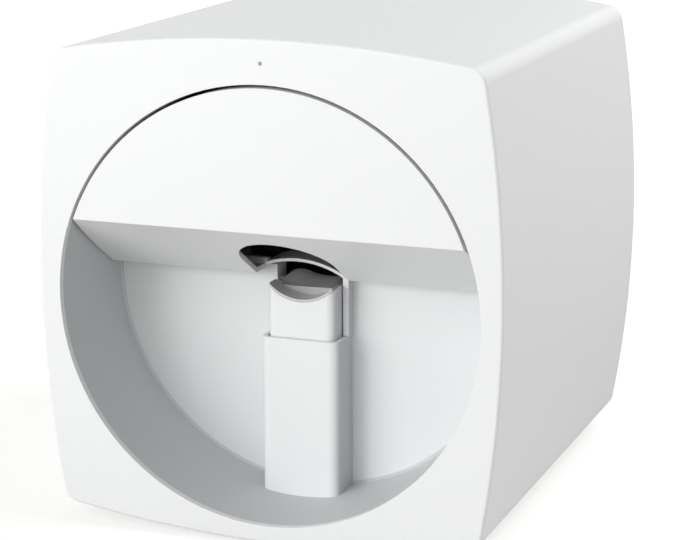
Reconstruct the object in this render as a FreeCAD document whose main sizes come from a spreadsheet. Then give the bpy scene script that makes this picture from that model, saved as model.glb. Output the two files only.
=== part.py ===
"""Digital nail art printer: a free-standing inkjet printer for painted finger nails.

Frame: +Z up, the front faces -Y, the origin is on the floor under the middle of the housing.
Every driving size is a named cell of the sheet "Dims"; all the pieces are bound to those cells.
"""
import FreeCAD, Part
import Sketcher
import math
import os
import re

Vector = FreeCAD.Vector
Rotation = FreeCAD.Rotation
Placement = FreeCAD.Placement
SAME = 1e-4  # two coordinates closer than this are one (mm)
LEAST_CUT = 0.01  # a pocket takes away more than this (mm3)
START, END, CENTRE = range(1, 4)  # the points of a sketched line, arc or circle
ORIGIN = -1  # the sketch's own origin, as a piece of its geometry

# ------------------------------------------------------------------ driving dimensions (mm)
DIMENSIONS = {
    # how far cutting tools run past a face, and joined solids into each other
    "overcut": 1.0, "joint_lap": 1.0,
    # housing
    "half_width": 100.0, "half_height": 103.6, "body_depth": 212.0,
    "side_bulge": 8.8, "top_bulge": 7.9, "corner_radius": 7.3,
    "shell_wall": 2.8, "face_wall": 3.0, "front_round": 1.2, "rear_round": 1.0,
    "foot_stand": 1.8, "outline_rise": 5.4,
    "panel_wall": 3.0, "panel_gap": 0.25, "head_sink": 0.3, "screw_clearance": 0.3,
    "boss_inset_x": 14.5, "boss_inset_z": 14.1, "boss_radius": 5.0, "boss_length": 40.0,
    "screw_radius": 1.45, "thread_radius": 1.55, "screw_head_radius": 2.8, "screw_head_height": 1.8,
    "screw_length": 9.0, "base_screw_length": 6.0, "stand_root": 0.6,
    # round recess
    "opening_rim": 9.0, "opening_low_rim": 7.2, "recess_depth": 55.0, "liner_wall": 2.5,
    "liner_draft": 1.0, "bevel_width": 0.9, "flange_reach": 1.4, "flange_wall": 2.0,
    "disc_wall": 2.5, "disc_seat": 1.8, "disc_gap": 0.2, "disc_top": 8.0, "ear_rim": 1.5,
    # upper cover
    "seam_gap": 1.4, "chord_height": 31.3, "slope_depth": 46.0, "slope_drop": 27.8,
    "cover_wall": 2.2, "cover_clearance": 1.0, "arch_width": 41.2, "arch_shift": -1.6,
    "arch_reach": 11.4,
    "magnet_x": 40.0, "magnet_width": 10.0, "magnet_thick": 4.0, "magnet_height": 4.5,
    "keeper_wall": 1.5,
    # finger rest
    "sleeve_half": 17.4, "sleeve_front": 37.5, "sleeve_wall": 2.0, "sleeve_corner": 4.0,
    "sleeve_drop": 21.7, "sleeve_floor": 5.0,
    "post_clearance": 0.4, "post_thick": 9.7, "post_corner": 3.5, "post_tip": 0.6,
    "post_drop": 62.0, "cradle_radius": 20.4, "cradle_sag": 6.6,
    "pad_setback": 0.5, "pad_length": 20.2, "pad_gap": 0.05, "pad_lining": 1.0,
    "pad_edge_drop": 0.4, "stop_setback": 14.1, "stop_reach": 7.0, "stop_middle": -6.0,
    "ledge_half": 17.5, "ledge_rise": 7.4, "bump_half": 10.0, "bump_rise": 9.2,
    "bump_shift": -5.0,
    "slot_half": 16.9, "slot_shift": 0.5, "slot_drop": 75.0, "slot_flange": 10.0,
    "slot_flange_wall": 1.2, "carrier_gap": 1.6, "tongue_half": 12.0, "tongue_drop": 0.0,
    "strip_width": 2.8, "strip_gap": 1.1, "rail_lap": 0.5, "strip_drop": 34.0, "strip_heel": 8.0,
    "hood_radius": 42.0, "hood_wall": 1.3, "hood_top": 10.2, "hood_shift": -5.0,
    "hood_front": 49.4, "hood_length": 18.0, "hood_left": 14.6, "hood_side_drop": 6.0,
    "hood_side_rise": 3.6, "hood_gap": 0.8, "hood_notch_level": 5.5,
    "spring_radius": 3.6, "spring_wire": 0.8, "spring_coils": 7.0, "spring_setback": 8.0,
    # chassis
    "chassis_floor": 13.0, "sheet_wall": 1.6, "chassis_half": 20.0, "chassis_front": 70.0,
    "chassis_back": 36.0, "upright_top": 52.0, "window_half": 37.0, "window_sill": -10.0,
    "standoff_x": 40.0, "standoff_front": 86.0, "standoff_back": 51.0, "standoff_radius": 5.0,
    # movement across and along the finger
    "rod_radius": 3.0, "rod_fit": 0.05, "bush_wall": 1.5, "bush_length": 10.0,
    "y_rod_x": 27.0, "y_rod_z": 40.0,
    "block_half": 7.0, "block_front": 96.0, "block_length": 36.0,
    "block_low": 16.0, "block_high": 64.0, "beam_front": 128.0, "beam_wall": 3.0,
    "x_rod_y": 114.0, "x_rod_low": 22.0, "x_rod_high": 58.0, "rod_end": 5.0,
    "pulley_x": 47.0, "pulley_radius": 8.0, "pulley_front": 118.0, "pulley_width": 6.0,
    "pulley_rim": 1.2, "belt_thick": 1.2, "belt_width": 4.4, "shaft_radius": 1.5,
    "pulley_gap": 0.3, "rim_wall": 0.5, "motor_gap": 0.4,
    "x_motor_radius": 12.0, "x_motor_length": 18.0,
    "screw_z": 9.5, "lead_radius": 3.0, "lead_front": 102.0, "lead_gap": 1.0,
    "nut_half": 8.0, "nut_low": 3.0,
    "nut_front": 122.0, "nut_length": 12.0, "y_motor_radius": 12.5, "y_motor_length": 18.0,
    # print carriage, parked at the right over the cap
    "park_x": 60.0, "carriage_half": 19.0, "carriage_low": 13.4, "carriage_high": 66.0,
    "carriage_front": 98.0, "cradle_wall": 2.0, "cartridge_half": 16.0, "cartridge_gap": 0.3,
    "cartridge_corner": 2.0, "cheek_high": 50.0, "bearing_half": 5.5, "bearing_gap": 0.5,
    "jaw_half": 4.0, "jaw_wall": 2.0, "belt_gap": 0.4,
    "cartridge_front": 60.0, "cartridge_low": 15.2, "cartridge_high": 58.0,
    "nozzle_low": 12.6, "nozzle_half": 8.0, "nozzle_length": 12.0, "nozzle_margin": 2.0,
    "latch_half": 8.0, "latch_wall": 2.2, "latch_reach": 22.0, "latch_gap": 0.8,
    "latch_barrel": 2.6, "latch_rim": 1.0, "pin_radius": 1.2, "hinge_gap": 0.8,
    "camera_half": 7.0, "lens_radius": 4.0, "lens_length": 5.0, "camera_setback": 4.0,
    "camera_low": 22.0, "camera_height": 18.0,
    # service parts
    "tray_half": 14.0, "tray_front": 59.5, "tray_length": 20.0,
    "tray_high": 7.0, "tray_wall": 1.6, "cap_high": 11.8, "cap_gap": 0.4,
    "cap_dish_depth": 3.0,
    "light_bar_half": 22.0, "light_bar_wall": 3.0, "light_bar_height": 8.0,
    # electronics and rear connections
    "board_front": 22.0, "board_wall": 1.6, "board_left": 18.0, "board_right": 122.0,
    "board_low": 22.0, "board_high": 88.0, "spacer_radius": 2.5, "spacer_inset": 6.0,
    "port_z": 40.0, "inlet_x": 40.0, "usb_x": 64.0, "port_half": 6.0, "port_gap": 0.3,
    "port_recess": 0.6, "port_depth": 9.0, "inlet_hole": 3.2, "inlet_pin": 1.0,
    "usb_mouth_half": 4.2, "usb_tongue_half": 2.4, "contact_inset": 1.0,
    "button_x": 40.0, "button_radius": 6.0, "button_gap": 0.35, "button_sink": 0.2,
    "button_flange": 1.6, "flange_gap": 0.2, "housing_depth": 14.0, "button_wire": 0.6,
    "button_coils": 5.0,
    "vent_width": 3.0, "vent_length": 40.0, "vent_pitch": 8.0, "vent_count": 9.0,
    "vent_z": 150.0,
    # small front light and feet
    "light_height": 8.4, "light_radius": 0.75, "light_fit": 0.05, "light_flange": 2.5,
    "light_length": 7.0, "light_rim_wall": 1.0,
    "foot_x": 40.0, "foot_front": 44.0, "foot_back": 22.0, "foot_radius": 8.0,
    "foot_thick": 3.0, "foot_rim": 1.0,
}

# These cells hold a distance from a datum of the housing; in a formula the name is the place.
FROM_FRONT = ("chassis_front", "block_front", "beam_front", "x_rod_y", "pulley_front",
              "lead_front", "nut_front", "carriage_front", "cartridge_front", "tray_front",
              "standoff_front", "foot_front")
FROM_BACK = ("chassis_back", "board_front", "standoff_back", "foot_back")
FROM_SIDE = ("chassis_half", "y_rod_x", "window_half", "pulley_x", "park_x", "foot_x",
             "standoff_x", "button_x", "magnet_x")
FROM_LEFT = ("board_left", "board_right", "inlet_x", "usb_x")
ABOVE_OPENING = ("y_rod_z", "x_rod_low", "x_rod_high", "screw_z", "block_low", "block_high",
                 "cartridge_low", "cartridge_high", "nozzle_low", "carriage_low",
                 "carriage_high", "cheek_high", "window_sill", "upright_top", "tray_high",
                 "cap_high", "camera_low", "nut_low")

# Places that many pieces share, written in the sheet's names.
FRONT = "(-body_depth/2)"
BACK = "(body_depth/2)"
OUTLINE_Z = "(foot_stand+half_height)"
OPENING_Z = "(foot_stand+half_height-outline_rise)"
OPENING_RADIUS = "min(half_width-opening_rim;half_height-outline_rise-opening_low_rim)"
SIDE_ARC = "(((half_height-top_bulge)^2+side_bulge^2)/(2*side_bulge))"
TOP_ARC = "(((half_width-side_bulge)^2+top_bulge^2)/(2*top_bulge))"
DATUMS = {
    **{name: FRONT + "+" for name in FROM_FRONT},
    **{name: BACK + "-" for name in FROM_BACK},
    **{name: "half_width-" for name in FROM_SIDE},
    **{name: "-half_width+" for name in FROM_LEFT},
    **{name: OPENING_Z + "+" for name in ABOVE_OPENING},
    "light_height": f"{OPENING_Z}+{OPENING_RADIUS}+",
    "sleeve_floor": f"{OPENING_Z}-{OPENING_RADIUS}+",
}
RECESS_BACK = f"({FRONT}+recess_depth)"
SLOPE_Z = f"({OPENING_Z}+chord_height-slope_drop)"
POST_FRONT = f"({FRONT}+sleeve_front+sleeve_wall+post_clearance)"
POST_HALF = "(sleeve_half-sleeve_wall-post_clearance)"
POST_BACK = f"({POST_FRONT}+post_thick)"
CRADLE_Z = f"({OPENING_Z}+post_tip-cradle_sag+cradle_radius)"
BEAM_BACK = "(beam_front+beam_wall)"
CHASSIS_TOP = "(chassis_floor+sheet_wall)"
MAGNET_TOP = f"({SLOPE_Z}+cover_wall+magnet_height)"
STRIP_RIGHT = "(slot_shift+slot_half-strip_gap)"
STRIP_LEFT = f"({STRIP_RIGHT}-strip_width)"
X_ROD_END = "(y_rod_x-block_half+rod_end)"
LATCH_Y = "(carriage_front-latch_barrel-hinge_gap)"
LATCH_Z = "(cartridge_high+latch_gap+latch_barrel)"
LIGHT_BAR_TOP = f"({OPENING_Z}+opening_radius+liner_wall/2)"
BOARD_BACK = "(board_front+board_wall)"
PORT_END = f"({BACK}-port_recess)"
FLANGE_BACK = f"({BACK}-panel_wall-flange_gap)"

doc = FreeCAD.newDocument("NailPrinter")
sheet = doc.addObject("Spreadsheet::Sheet", "Dims")
for row, (alias, value) in enumerate(DIMENSIONS.items(), 1):
    sheet.set(f"A{row}", alias)
    sheet.set(f"B{row}", str(value))
    sheet.setAlias(f"B{row}", alias)
doc.recompute()

NODES = []


# ------------------------------------------------------------------ helpers
def formula(text):
    """Turn names such as shell_wall into references to the sheet's cells."""
    def name(match):
        word = match.group()
        if word == "opening_radius":
            return formula(OPENING_RADIUS)
        if word in DATUMS:
            return f"({formula(DATUMS[word])}Dims.{word})"
        return "Dims." + word if word in DIMENSIONS else word
    return re.sub(r"[a-z_][a-z_0-9]*", name, str(text))


def number(text):
    """Present value of a formula."""
    return float(sheet.evalExpression(formula(text).replace("Dims.", "")))


def bind(item, **sizes):
    """Bind properties of an object to formulas."""
    for prop, text in sizes.items():
        item.setExpression(prop.replace("__", "."), formula(text))
    return item


def place(item, x, y, z):
    for axis, text in zip("xyz", (x, y, z)):
        item.setExpression("Placement.Base." + axis, formula(text))
    return item


def box(name, x, y, z):
    """Box between low and high formulas along each axis."""
    item = doc.addObject("Part::Box", name)
    bind(item, Length=f"({x[1]})-({x[0]})", Width=f"({y[1]})-({y[0]})", Height=f"({z[1]})-({z[0]})")
    return place(item, x[0], y[0], z[0])


TURN = {"x": Rotation(Vector(0, 1, 0), 90), "y": Rotation(Vector(1, 0, 0), -90), "z": Rotation()}


def along(item, axis, middle, start):
    """Put a turned primitive's start on a line parallel to one axis."""
    item.Placement = Placement(Vector(), TURN[axis])
    spot = {"x": (start, *middle), "y": (middle[0], start, middle[1]), "z": (*middle, start)}
    return place(item, *spot[axis])


def cylinder(name, radius, axis, middle, span):
    item = doc.addObject("Part::Cylinder", name)
    bind(item, Radius=radius, Height=f"({span[1]})-({span[0]})")
    return along(item, axis, middle, span[0])


def cone(name, radii, axis, middle, span):
    item = doc.addObject("Part::Cone", name)
    bind(item, Radius1=radii[0], Radius2=radii[1], Height=f"({span[1]})-({span[0]})")
    return along(item, axis, middle, span[0])


def cut(name, base, *tools):
    """Take one or several tools away from a base."""
    item = doc.addObject("Part::Cut", name)
    item.Base = base
    item.Tool = tools[0] if len(tools) == 1 else fuse(name + "_tools", *tools)
    return item


def fuse(name, *pieces):
    item = doc.addObject("Part::MultiFuse", name)
    item.Shapes = list(pieces)
    return item


def common(name, *pieces):
    item = doc.addObject("Part::MultiCommon", name)
    item.Shapes = list(pieces)
    return item


def group(name, *pieces):
    """Several separate solids that share one node."""
    item = doc.addObject("Part::Compound", name)
    item.Links = list(pieces)
    return item


def node(item, label):
    """Register a finished piece under its own label."""
    item.Label = label
    NODES.append(item)
    return item


def sketch(body, name, role, offset="0"):
    """Sketch on one of the body's origin planes, moved along the plane's normal."""
    plane = [f for f in body.Origin.OriginFeatures if f.Role == role][0]
    item = body.newObject("Sketcher::SketchObject", name)
    item.AttachmentSupport = [(plane, "")]
    item.MapMode = "FlatFace"
    item.setExpression("AttachmentOffset.Base.z", formula(offset))
    return item


def constrain(drawing, kind, *where, text=None):
    """Add a constraint; a text makes it a dimension bound to the sheet."""
    if text is None:
        return drawing.addConstraint(Sketcher.Constraint(kind, *where))
    index = drawing.addConstraint(Sketcher.Constraint(kind, *where, number(text)))
    label = f"size{index}"
    drawing.renameConstraint(index, label)
    drawing.setExpression("Constraints." + label, formula(text))
    return index


def pin_point(drawing, geometry, corner, x, y):
    constrain(drawing, "DistanceX", ORIGIN, START, geometry, corner, text=x)
    constrain(drawing, "DistanceY", ORIGIN, START, geometry, corner, text=y)


def rectangle(drawing, x, y):
    """Rectangle between low and high formulas."""
    low, high = (number(x[0]), number(y[0])), (number(x[1]), number(y[1]))
    corners = [low, (high[0], low[1]), high, (low[0], high[1])]
    first = drawing.GeometryCount
    for here, there in zip(corners, corners[1:] + corners[:1]):
        drawing.addGeometry(Part.LineSegment(Vector(*here, 0), Vector(*there, 0)), False)
    for step in range(4):
        constrain(drawing, "Coincident", first + step, END, first + (step + 1) % 4, START)
        constrain(drawing, "Vertical" if step % 2 else "Horizontal", first + step)
    pin_point(drawing, first, START, x[0], y[0])
    pin_point(drawing, first + 1, END, x[1], y[1])


def circle(drawing, radius, x, y):
    middle = Vector(number(x), number(y), 0)
    index = drawing.addGeometry(Part.Circle(middle, Vector(0, 0, 1), number(radius)), False)
    constrain(drawing, "Radius", index, text=radius)
    pin_point(drawing, index, CENTRE, x, y)


def corner_of_arcs(side, top, small):
    """Centre of the corner arc: the same distance inside the side arc and the top arc."""
    first = Vector(number(f"half_width-{SIDE_ARC}"), 0, 0)
    second = Vector(0, number(f"half_height-{TOP_ARC}"), 0)
    gap = second - first
    reach = ((side - small)**2 - (top - small)**2 + gap.Length**2) / (2 * gap.Length)
    height = ((side - small)**2 - reach**2) ** 0.5
    gap.normalize()
    across = Vector(gap.y, -gap.x, 0)
    spots = [first + gap * reach + across * sign * height for sign in (1, -1)]
    return first, second, max(spots, key=lambda spot: spot.x + spot.y)


def bulged_square(drawing, inset):
    """Square with four bowed sides and round corners, all offset inwards by one inset."""
    side, top = number(f"{SIDE_ARC}-({inset})"), number(f"{TOP_ARC}-({inset})")
    small = number(f"corner_radius-({inset})")
    right, above, corner = corner_of_arcs(side, top, small)
    low = math.atan2(corner.y - right.y, corner.x - right.x)
    high = math.atan2(corner.y - above.y, corner.x - above.x)
    half, full = math.pi, 2 * math.pi
    flip = [Vector(1, 1, 0), Vector(-1, 1, 0), Vector(-1, -1, 0), Vector(1, -1, 0)]
    sides = [(right, side, -low, low), (above, top, high, half - high),
             (-right, side, half - low, half + low), (-above, top, half + high, full - high)]
    turns = [(low, high), (half - high, half - low), (half + low, half + high),
             (full - high, full - low)]
    lift = Vector(0, number(OUTLINE_Z), 0)
    for bow, sign, turn in zip(sides, flip, turns):
        spot = Vector(corner.x * sign.x, corner.y * sign.y, 0)
        for middle, radius, start, end in (bow, (spot, small, *turn)):
            ring = Part.Circle(middle + lift, Vector(0, 0, 1), radius)
            drawing.addGeometry(Part.ArcOfCircle(ring, start, end), False)
    for index in range(8):
        constrain(drawing, "Tangent", index, END, (index + 1) % 8, START)
    for index, radius in enumerate((SIDE_ARC, "corner_radius", TOP_ARC, "corner_radius") * 2):
        constrain(drawing, "Radius", index, text=f"{radius}-({inset})")
    for index, sign in ((0, ""), (4, "-")):
        pin_point(drawing, index, CENTRE, f"{sign}(half_width-{SIDE_ARC})", OUTLINE_Z)
    for index, sign in ((2, "+"), (6, "-")):
        pin_point(drawing, index, CENTRE, "0", f"{OUTLINE_Z}{sign}(half_height-{TOP_ARC})")


def pad(body, name, drawing, length, flip=False):
    item = body.newObject("PartDesign::Pad", name)
    item.Profile = drawing
    item.Reversed = flip
    bind(item, Length=length)
    doc.recompute()
    return item


def pocket(body, name, drawing, depth=None, flip=False):
    """Pocket that must take material away; no depth cuts right through."""
    before = body.Shape.Volume
    item = body.newObject("PartDesign::Pocket", name)
    item.Profile = drawing
    item.Reversed = flip
    if depth is None:
        item.Type = "ThroughAll"
        item.Midplane = True
    else:
        bind(item, Length=depth)
    doc.recompute()
    if body.Shape.Volume > before - LEAST_CUT:
        raise RuntimeError(name + " cuts nothing")
    return item


def round_edges(body, name, radius, chosen):
    """Fillet the edges of the body's tip that the test picks."""
    tip = body.Tip
    names = [f"Edge{i}" for i, edge in enumerate(tip.Shape.Edges, 1) if chosen(edge)]
    item = body.newObject("PartDesign::Fillet", name)
    item.Base = (tip, names)
    bind(item, Radius=radius)
    doc.recompute()
    return item


def new_body(name):
    return doc.addObject("PartDesign::Body", name + "_body")


def flat(edge, axis, value):
    """True when an edge lies in the plane where one coordinate has this value."""
    box_ = edge.BoundBox
    low, high = getattr(box_, axis + "Min"), getattr(box_, axis + "Max")
    return abs(low - value) < SAME and abs(high - value) < SAME


def front_sketch(body, name, y):
    """Sketch facing the front at one depth; its pads grow towards the front."""
    return sketch(body, name, "XZ_Plane", f"-({y})")


def pairs(x, others):
    """Left and right places for each of the other coordinates."""
    return [(side + x, other) for other in others for side in ("-", "")]


# ------------------------------------------------------------------ housing
def boss_spots():
    x = "(half_width-boss_inset_x)"
    lift = "(half_height-boss_inset_z)"
    return pairs(x, (f"{OUTLINE_Z}-{lift}", f"{OUTLINE_Z}+{lift}"))


def main_shell():
    body = new_body("shell")
    block = front_sketch(body, "shell_outline", BACK)
    bulged_square(block, "0")
    pad(body, "shell_block", block, "body_depth")
    round_edges(body, "front_edge_round", "front_round", lambda e: flat(e, "Y", number(FRONT)))
    round_edges(body, "rear_edge_round", "rear_round", lambda e: flat(e, "Y", number(BACK)))
    cavity = front_sketch(body, "shell_cavity", BACK)
    bulged_square(cavity, "shell_wall")
    pocket(body, "shell_hollow", cavity, "body_depth-face_wall", flip=True)
    mouth = front_sketch(body, "shell_mouth", f"{FRONT}+face_wall")
    circle(mouth, "opening_radius", "0", OPENING_Z)
    circle(mouth, "light_radius+light_fit", "0", "light_height")
    pocket(body, "shell_openings", mouth, "face_wall", flip=True)
    bosses = front_sketch(body, "rear_bosses", f"{BACK}-panel_wall")
    threads = front_sketch(body, "rear_threads", f"{BACK}-panel_wall")
    for x, z in boss_spots():
        circle(bosses, "boss_radius", x, z)
        circle(threads, "thread_radius", x, z)
    pad(body, "boss_pads", bosses, "boss_length")
    pocket(body, "boss_holes", threads, "screw_length+panel_wall", flip=True)
    wall_level = "(foot_stand+top_bulge*(foot_x/(half_width-side_bulge))^2+shell_wall*stand_root)"
    stands = sketch(body, "chassis_stands", "XY_Plane", wall_level)
    holes = sketch(body, "chassis_threads", "XY_Plane", "chassis_floor")
    for x, y in pairs("standoff_x", ("standoff_front", "standoff_back")):
        circle(stands, "standoff_radius", x, y)
        circle(holes, "thread_radius", x, y)
    pad(body, "stand_pads", stands, f"chassis_floor-{wall_level}")
    pocket(body, "stand_holes", holes, "base_screw_length-sheet_wall+screw_clearance")
    soles = sketch(body, "foot_seats", "XY_Plane", "foot_thick")
    for x, y in pairs("foot_x", ("foot_front", "foot_back")):
        circle(soles, "foot_radius+foot_rim", x, y)
    pad(body, "foot_pads", soles, f"{wall_level}-foot_thick")
    node(body, "main_shell")


def rear_panel():
    body = new_body("panel")
    outline = front_sketch(body, "panel_outline", BACK)
    bulged_square(outline, "shell_wall+panel_gap")
    pad(body, "panel_plate", outline, "panel_wall")
    ports = front_sketch(body, "panel_ports", BACK)
    for x in ("inlet_x", "usb_x"):
        reach = "(port_half+port_gap)"
        rectangle(ports, (f"{x}-{reach}", f"{x}+{reach}"), (f"port_z-{reach}", f"port_z+{reach}"))
    circle(ports, "button_radius+button_gap", "button_x", "port_z")
    for x, z in boss_spots():
        circle(ports, "screw_radius+screw_clearance", x, z)
    pocket(body, "panel_port_cuts", ports, "panel_wall", flip=True)
    heads = front_sketch(body, "panel_heads", BACK)
    for x, z in boss_spots():
        circle(heads, "screw_head_radius+screw_clearance", x, z)
    pocket(body, "panel_head_seats", heads, "screw_head_height+head_sink", flip=True)
    slot = front_sketch(body, "first_vent", BACK)
    first = "(-(vent_count-1)/2*vent_pitch)"
    rectangle(slot, (f"{first}-vent_width/2", f"{first}+vent_width/2"),
              ("vent_z-vent_length/2", "vent_z+vent_length/2"))
    vent = pocket(body, "vent_slot", slot, "panel_wall", flip=True)
    row = body.newObject("PartDesign::LinearPattern", "vent_row")
    row.Originals = [vent]
    row.Direction = ([f for f in body.Origin.OriginFeatures if f.Role == "X_Axis"][0], [""])
    bind(row, Length="(vent_count-1)*vent_pitch", Occurrences="vent_count")
    body.Tip = row
    doc.recompute()
    node(body, "rear_panel")


def rear_screws():
    seat = f"({BACK}-head_sink-screw_head_height)"
    screws = []
    for index, (x, z) in enumerate(boss_spots()):
        head = cylinder(f"rear_head{index}", "screw_head_radius", "y", (x, z),
                        (seat, f"{seat}+screw_head_height"))
        shank = cylinder(f"rear_shank{index}", "screw_radius", "y", (x, z),
                         (f"{seat}-screw_length", seat))
        screws.append(fuse(f"rear_screw{index}", head, shank))
    node(group("rear_screw_set", *screws), "rear_screws")


def recess_space(name):
    """Air inside the drum: a slightly narrowing cone and the bevel at its back."""
    bevel_start = f"({RECESS_BACK}-bevel_width)"
    middle = ("0", OPENING_Z)
    long_ = cone(name + "_cone", ("opening_radius", "opening_radius-liner_draft"), "y", middle,
                 (f"{FRONT}+face_wall", bevel_start))
    short = cone(name + "_bevel", ("opening_radius-liner_draft",
                                   "opening_radius-liner_draft-bevel_width"), "y", middle,
                 (bevel_start, RECESS_BACK))
    return fuse(name, long_, short)


def recess_liner():
    middle = ("0", OPENING_Z)
    start = f"({FRONT}+face_wall)"
    drum = cylinder("liner_drum", "opening_radius+liner_wall", "y", middle,
                    (start, f"{RECESS_BACK}+disc_wall"))
    flange = cylinder("liner_flange", "opening_radius+liner_wall+flange_reach", "y", middle,
                      (start, f"{start}+flange_wall"))
    seat = cylinder("liner_seat", "opening_radius-liner_draft+disc_seat", "y", middle,
                    (RECESS_BACK, f"{RECESS_BACK}+disc_wall"))
    node(cut("liner", fuse("liner_solid", drum, flange), recess_space("liner_air"), seat),
         "recess_liner")


def recess_back_wall():
    """Lower disc of the recess with the slot of the finger post and two guide flanges."""
    back = f"({RECESS_BACK}+disc_wall)"
    top = f"({OPENING_Z}+disc_top)"
    reach = "(opening_radius+liner_wall)"
    disc = cylinder("disc", "opening_radius-liner_draft+disc_seat-disc_gap", "y",
                    ("0", OPENING_Z), (RECESS_BACK, back))
    low = box("disc_part", (f"-{reach}", reach), (RECESS_BACK, back), (f"{OPENING_Z}-{reach}", top))
    pieces = [common("disc_low", disc, low)]
    for side in ("-", ""):
        ear = ("magnet_x", "(magnet_width/2+ear_rim)")
        lines = sorted((f"{side}{ear[0]}-{ear[1]}", f"{side}{ear[0]}+{ear[1]}"), key=number)
        pieces.append(box("disc_ear" + ("_left" if side else "_right"), lines,
                          (RECESS_BACK, back), (f"{top}-ear_rim", f"{MAGNET_TOP}+ear_rim")))
    left, right = "(slot_shift-slot_half)", "(slot_shift+slot_half)"
    bottom = f"({OPENING_Z}-slot_drop)"
    flange_y = (RECESS_BACK, f"{RECESS_BACK}+slot_flange")
    pieces.append(box("flange_left", (f"{left}-slot_flange_wall", left), flange_y, (bottom, top)))
    pieces.append(box("flange_right", (right, f"{right}+slot_flange_wall"), flange_y,
                      (bottom, top)))
    slot = box("post_slot", (left, right), (f"{RECESS_BACK}-overcut", f"{back}+overcut"),
               (bottom, f"{top}+overcut"))
    notch = box("hood_notch", ("hood_shift-hood_left-hood_gap", left),
                (f"{RECESS_BACK}-overcut", f"{FRONT}+hood_front+hood_length+hood_gap"),
                (f"{OPENING_Z}+hood_notch_level", f"{top}+overcut"))
    node(cut("back_wall", fuse("back_wall_solid", *pieces), slot, notch), "recess_back_wall")


# ------------------------------------------------------------------ upper cover
def ramp(name, lift):
    """Block under the cover's sloping plane; lift moves its top face along the normal."""
    run = "sqrt(slope_depth^2+slope_drop^2)"
    cosine, sine = f"(slope_depth/{run})", f"(slope_drop/{run})"
    reach = "opening_radius"
    item = doc.addObject("Part::Box", name)
    bind(item, Length=f"4*{reach}", Width=f"4*{reach}", Height=reach)
    item.Placement = Placement(Vector(), Rotation(Vector(-1, 0, 0), 1))
    item.setExpression("Placement.Rotation.Angle", formula("atan(slope_drop/slope_depth)"))
    down = f"({reach}-({lift}))"
    return place(item, f"-2*{reach}", f"{FRONT}-{down}*{sine}-{reach}*{cosine}",
                 f"{OPENING_Z}+chord_height-{down}*{cosine}+{reach}*{sine}")


def cover_plug(name, inset):
    """Upper part of a cylinder above the slope and the level underside."""
    back = f"({RECESS_BACK}-cover_clearance)"
    end = back if inset == "0" else f"{back}+overcut"
    drum = cylinder(name + "_drum", f"opening_radius-seam_gap-{inset}", "y", ("0", OPENING_Z),
                    (f"{FRONT}+{inset}", end))
    level = box(name + "_under", ("-2*opening_radius", "2*opening_radius"),
                (f"{FRONT}-overcut", f"{RECESS_BACK}+overcut"),
                (f"{OPENING_Z}-2*opening_radius", f"{SLOPE_Z}+{inset}"))
    return cut(name, drum, level, ramp(name + "_ramp", inset))


def visor_cover():
    shell = cut("cover_shell", cover_plug("cover_outer", "0"),
                cover_plug("cover_inner", "cover_wall"))
    half, centre = "(arch_width/2)", f"({FRONT}+arch_reach+arch_width/2)"
    span_z = (f"{SLOPE_Z}-overcut", f"{OPENING_Z}+chord_height+overcut")
    round_ = cylinder("arch_round", half, "z", ("arch_shift", centre), span_z)
    tail = box("arch_tail", (f"arch_shift-{half}", f"arch_shift+{half}"),
               (centre, f"{RECESS_BACK}+overcut"), span_z)
    node(cut("cover", shell, round_, tail), "visor_cover")


def magnets_and_keepers():
    back = f"({RECESS_BACK}-cover_clearance)"
    wall = f"({RECESS_BACK}+disc_wall)"
    magnets, keepers = [], []
    for side, label in (("-", "left"), ("", "right")):
        lines = (f"{side}magnet_x-magnet_width/2", f"{side}magnet_x+magnet_width/2")
        magnets.append(box("magnet_" + label, lines, (f"{back}-magnet_thick", back),
                           (f"{SLOPE_Z}+cover_wall", MAGNET_TOP)))
        keepers.append(box("keeper_" + label, lines, (wall, f"{wall}+keeper_wall"),
                           (f"{SLOPE_Z}+cover_wall", MAGNET_TOP)))
    node(group("magnet_set", *magnets), "cover_magnets")
    node(group("keeper_set", *keepers), "magnet_keepers")


# ------------------------------------------------------------------ finger rest
def upright(edge):
    low, high = edge.BoundBox.ZMin, edge.BoundBox.ZMax
    thin = max(edge.BoundBox.XLength, edge.BoundBox.YLength) < SAME
    return thin and high - low > SAME


def finger_sleeve():
    body = new_body("sleeve")
    start = f"({FRONT}+sleeve_front)"
    outline = sketch(body, "sleeve_outline", "XY_Plane", f"{OPENING_Z}-opening_radius")
    rectangle(outline, ("-sleeve_half", "sleeve_half"), (start, RECESS_BACK))
    pad(body, "sleeve_block", outline, "opening_radius-sleeve_drop")
    round_edges(body, "sleeve_round", "sleeve_corner",
                lambda e: upright(e) and flat(e, "Y", number(start)))
    inner = sketch(body, "sleeve_inside", "XY_Plane", f"{OPENING_Z}-sleeve_drop")
    wall = f"({start}+sleeve_wall)"
    rectangle(inner, ("-sleeve_half+sleeve_wall", "sleeve_half-sleeve_wall"), (wall, RECESS_BACK))
    pocket(body, "sleeve_hollow", inner, f"{OPENING_Z}-sleeve_drop-sleeve_floor")
    round_edges(body, "sleeve_inner_round", "sleeve_corner-sleeve_wall",
                lambda e: upright(e) and flat(e, "Y", number(wall)))
    node(common("sleeve", body, recess_space("sleeve_air")), "finger_sleeve")


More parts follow.
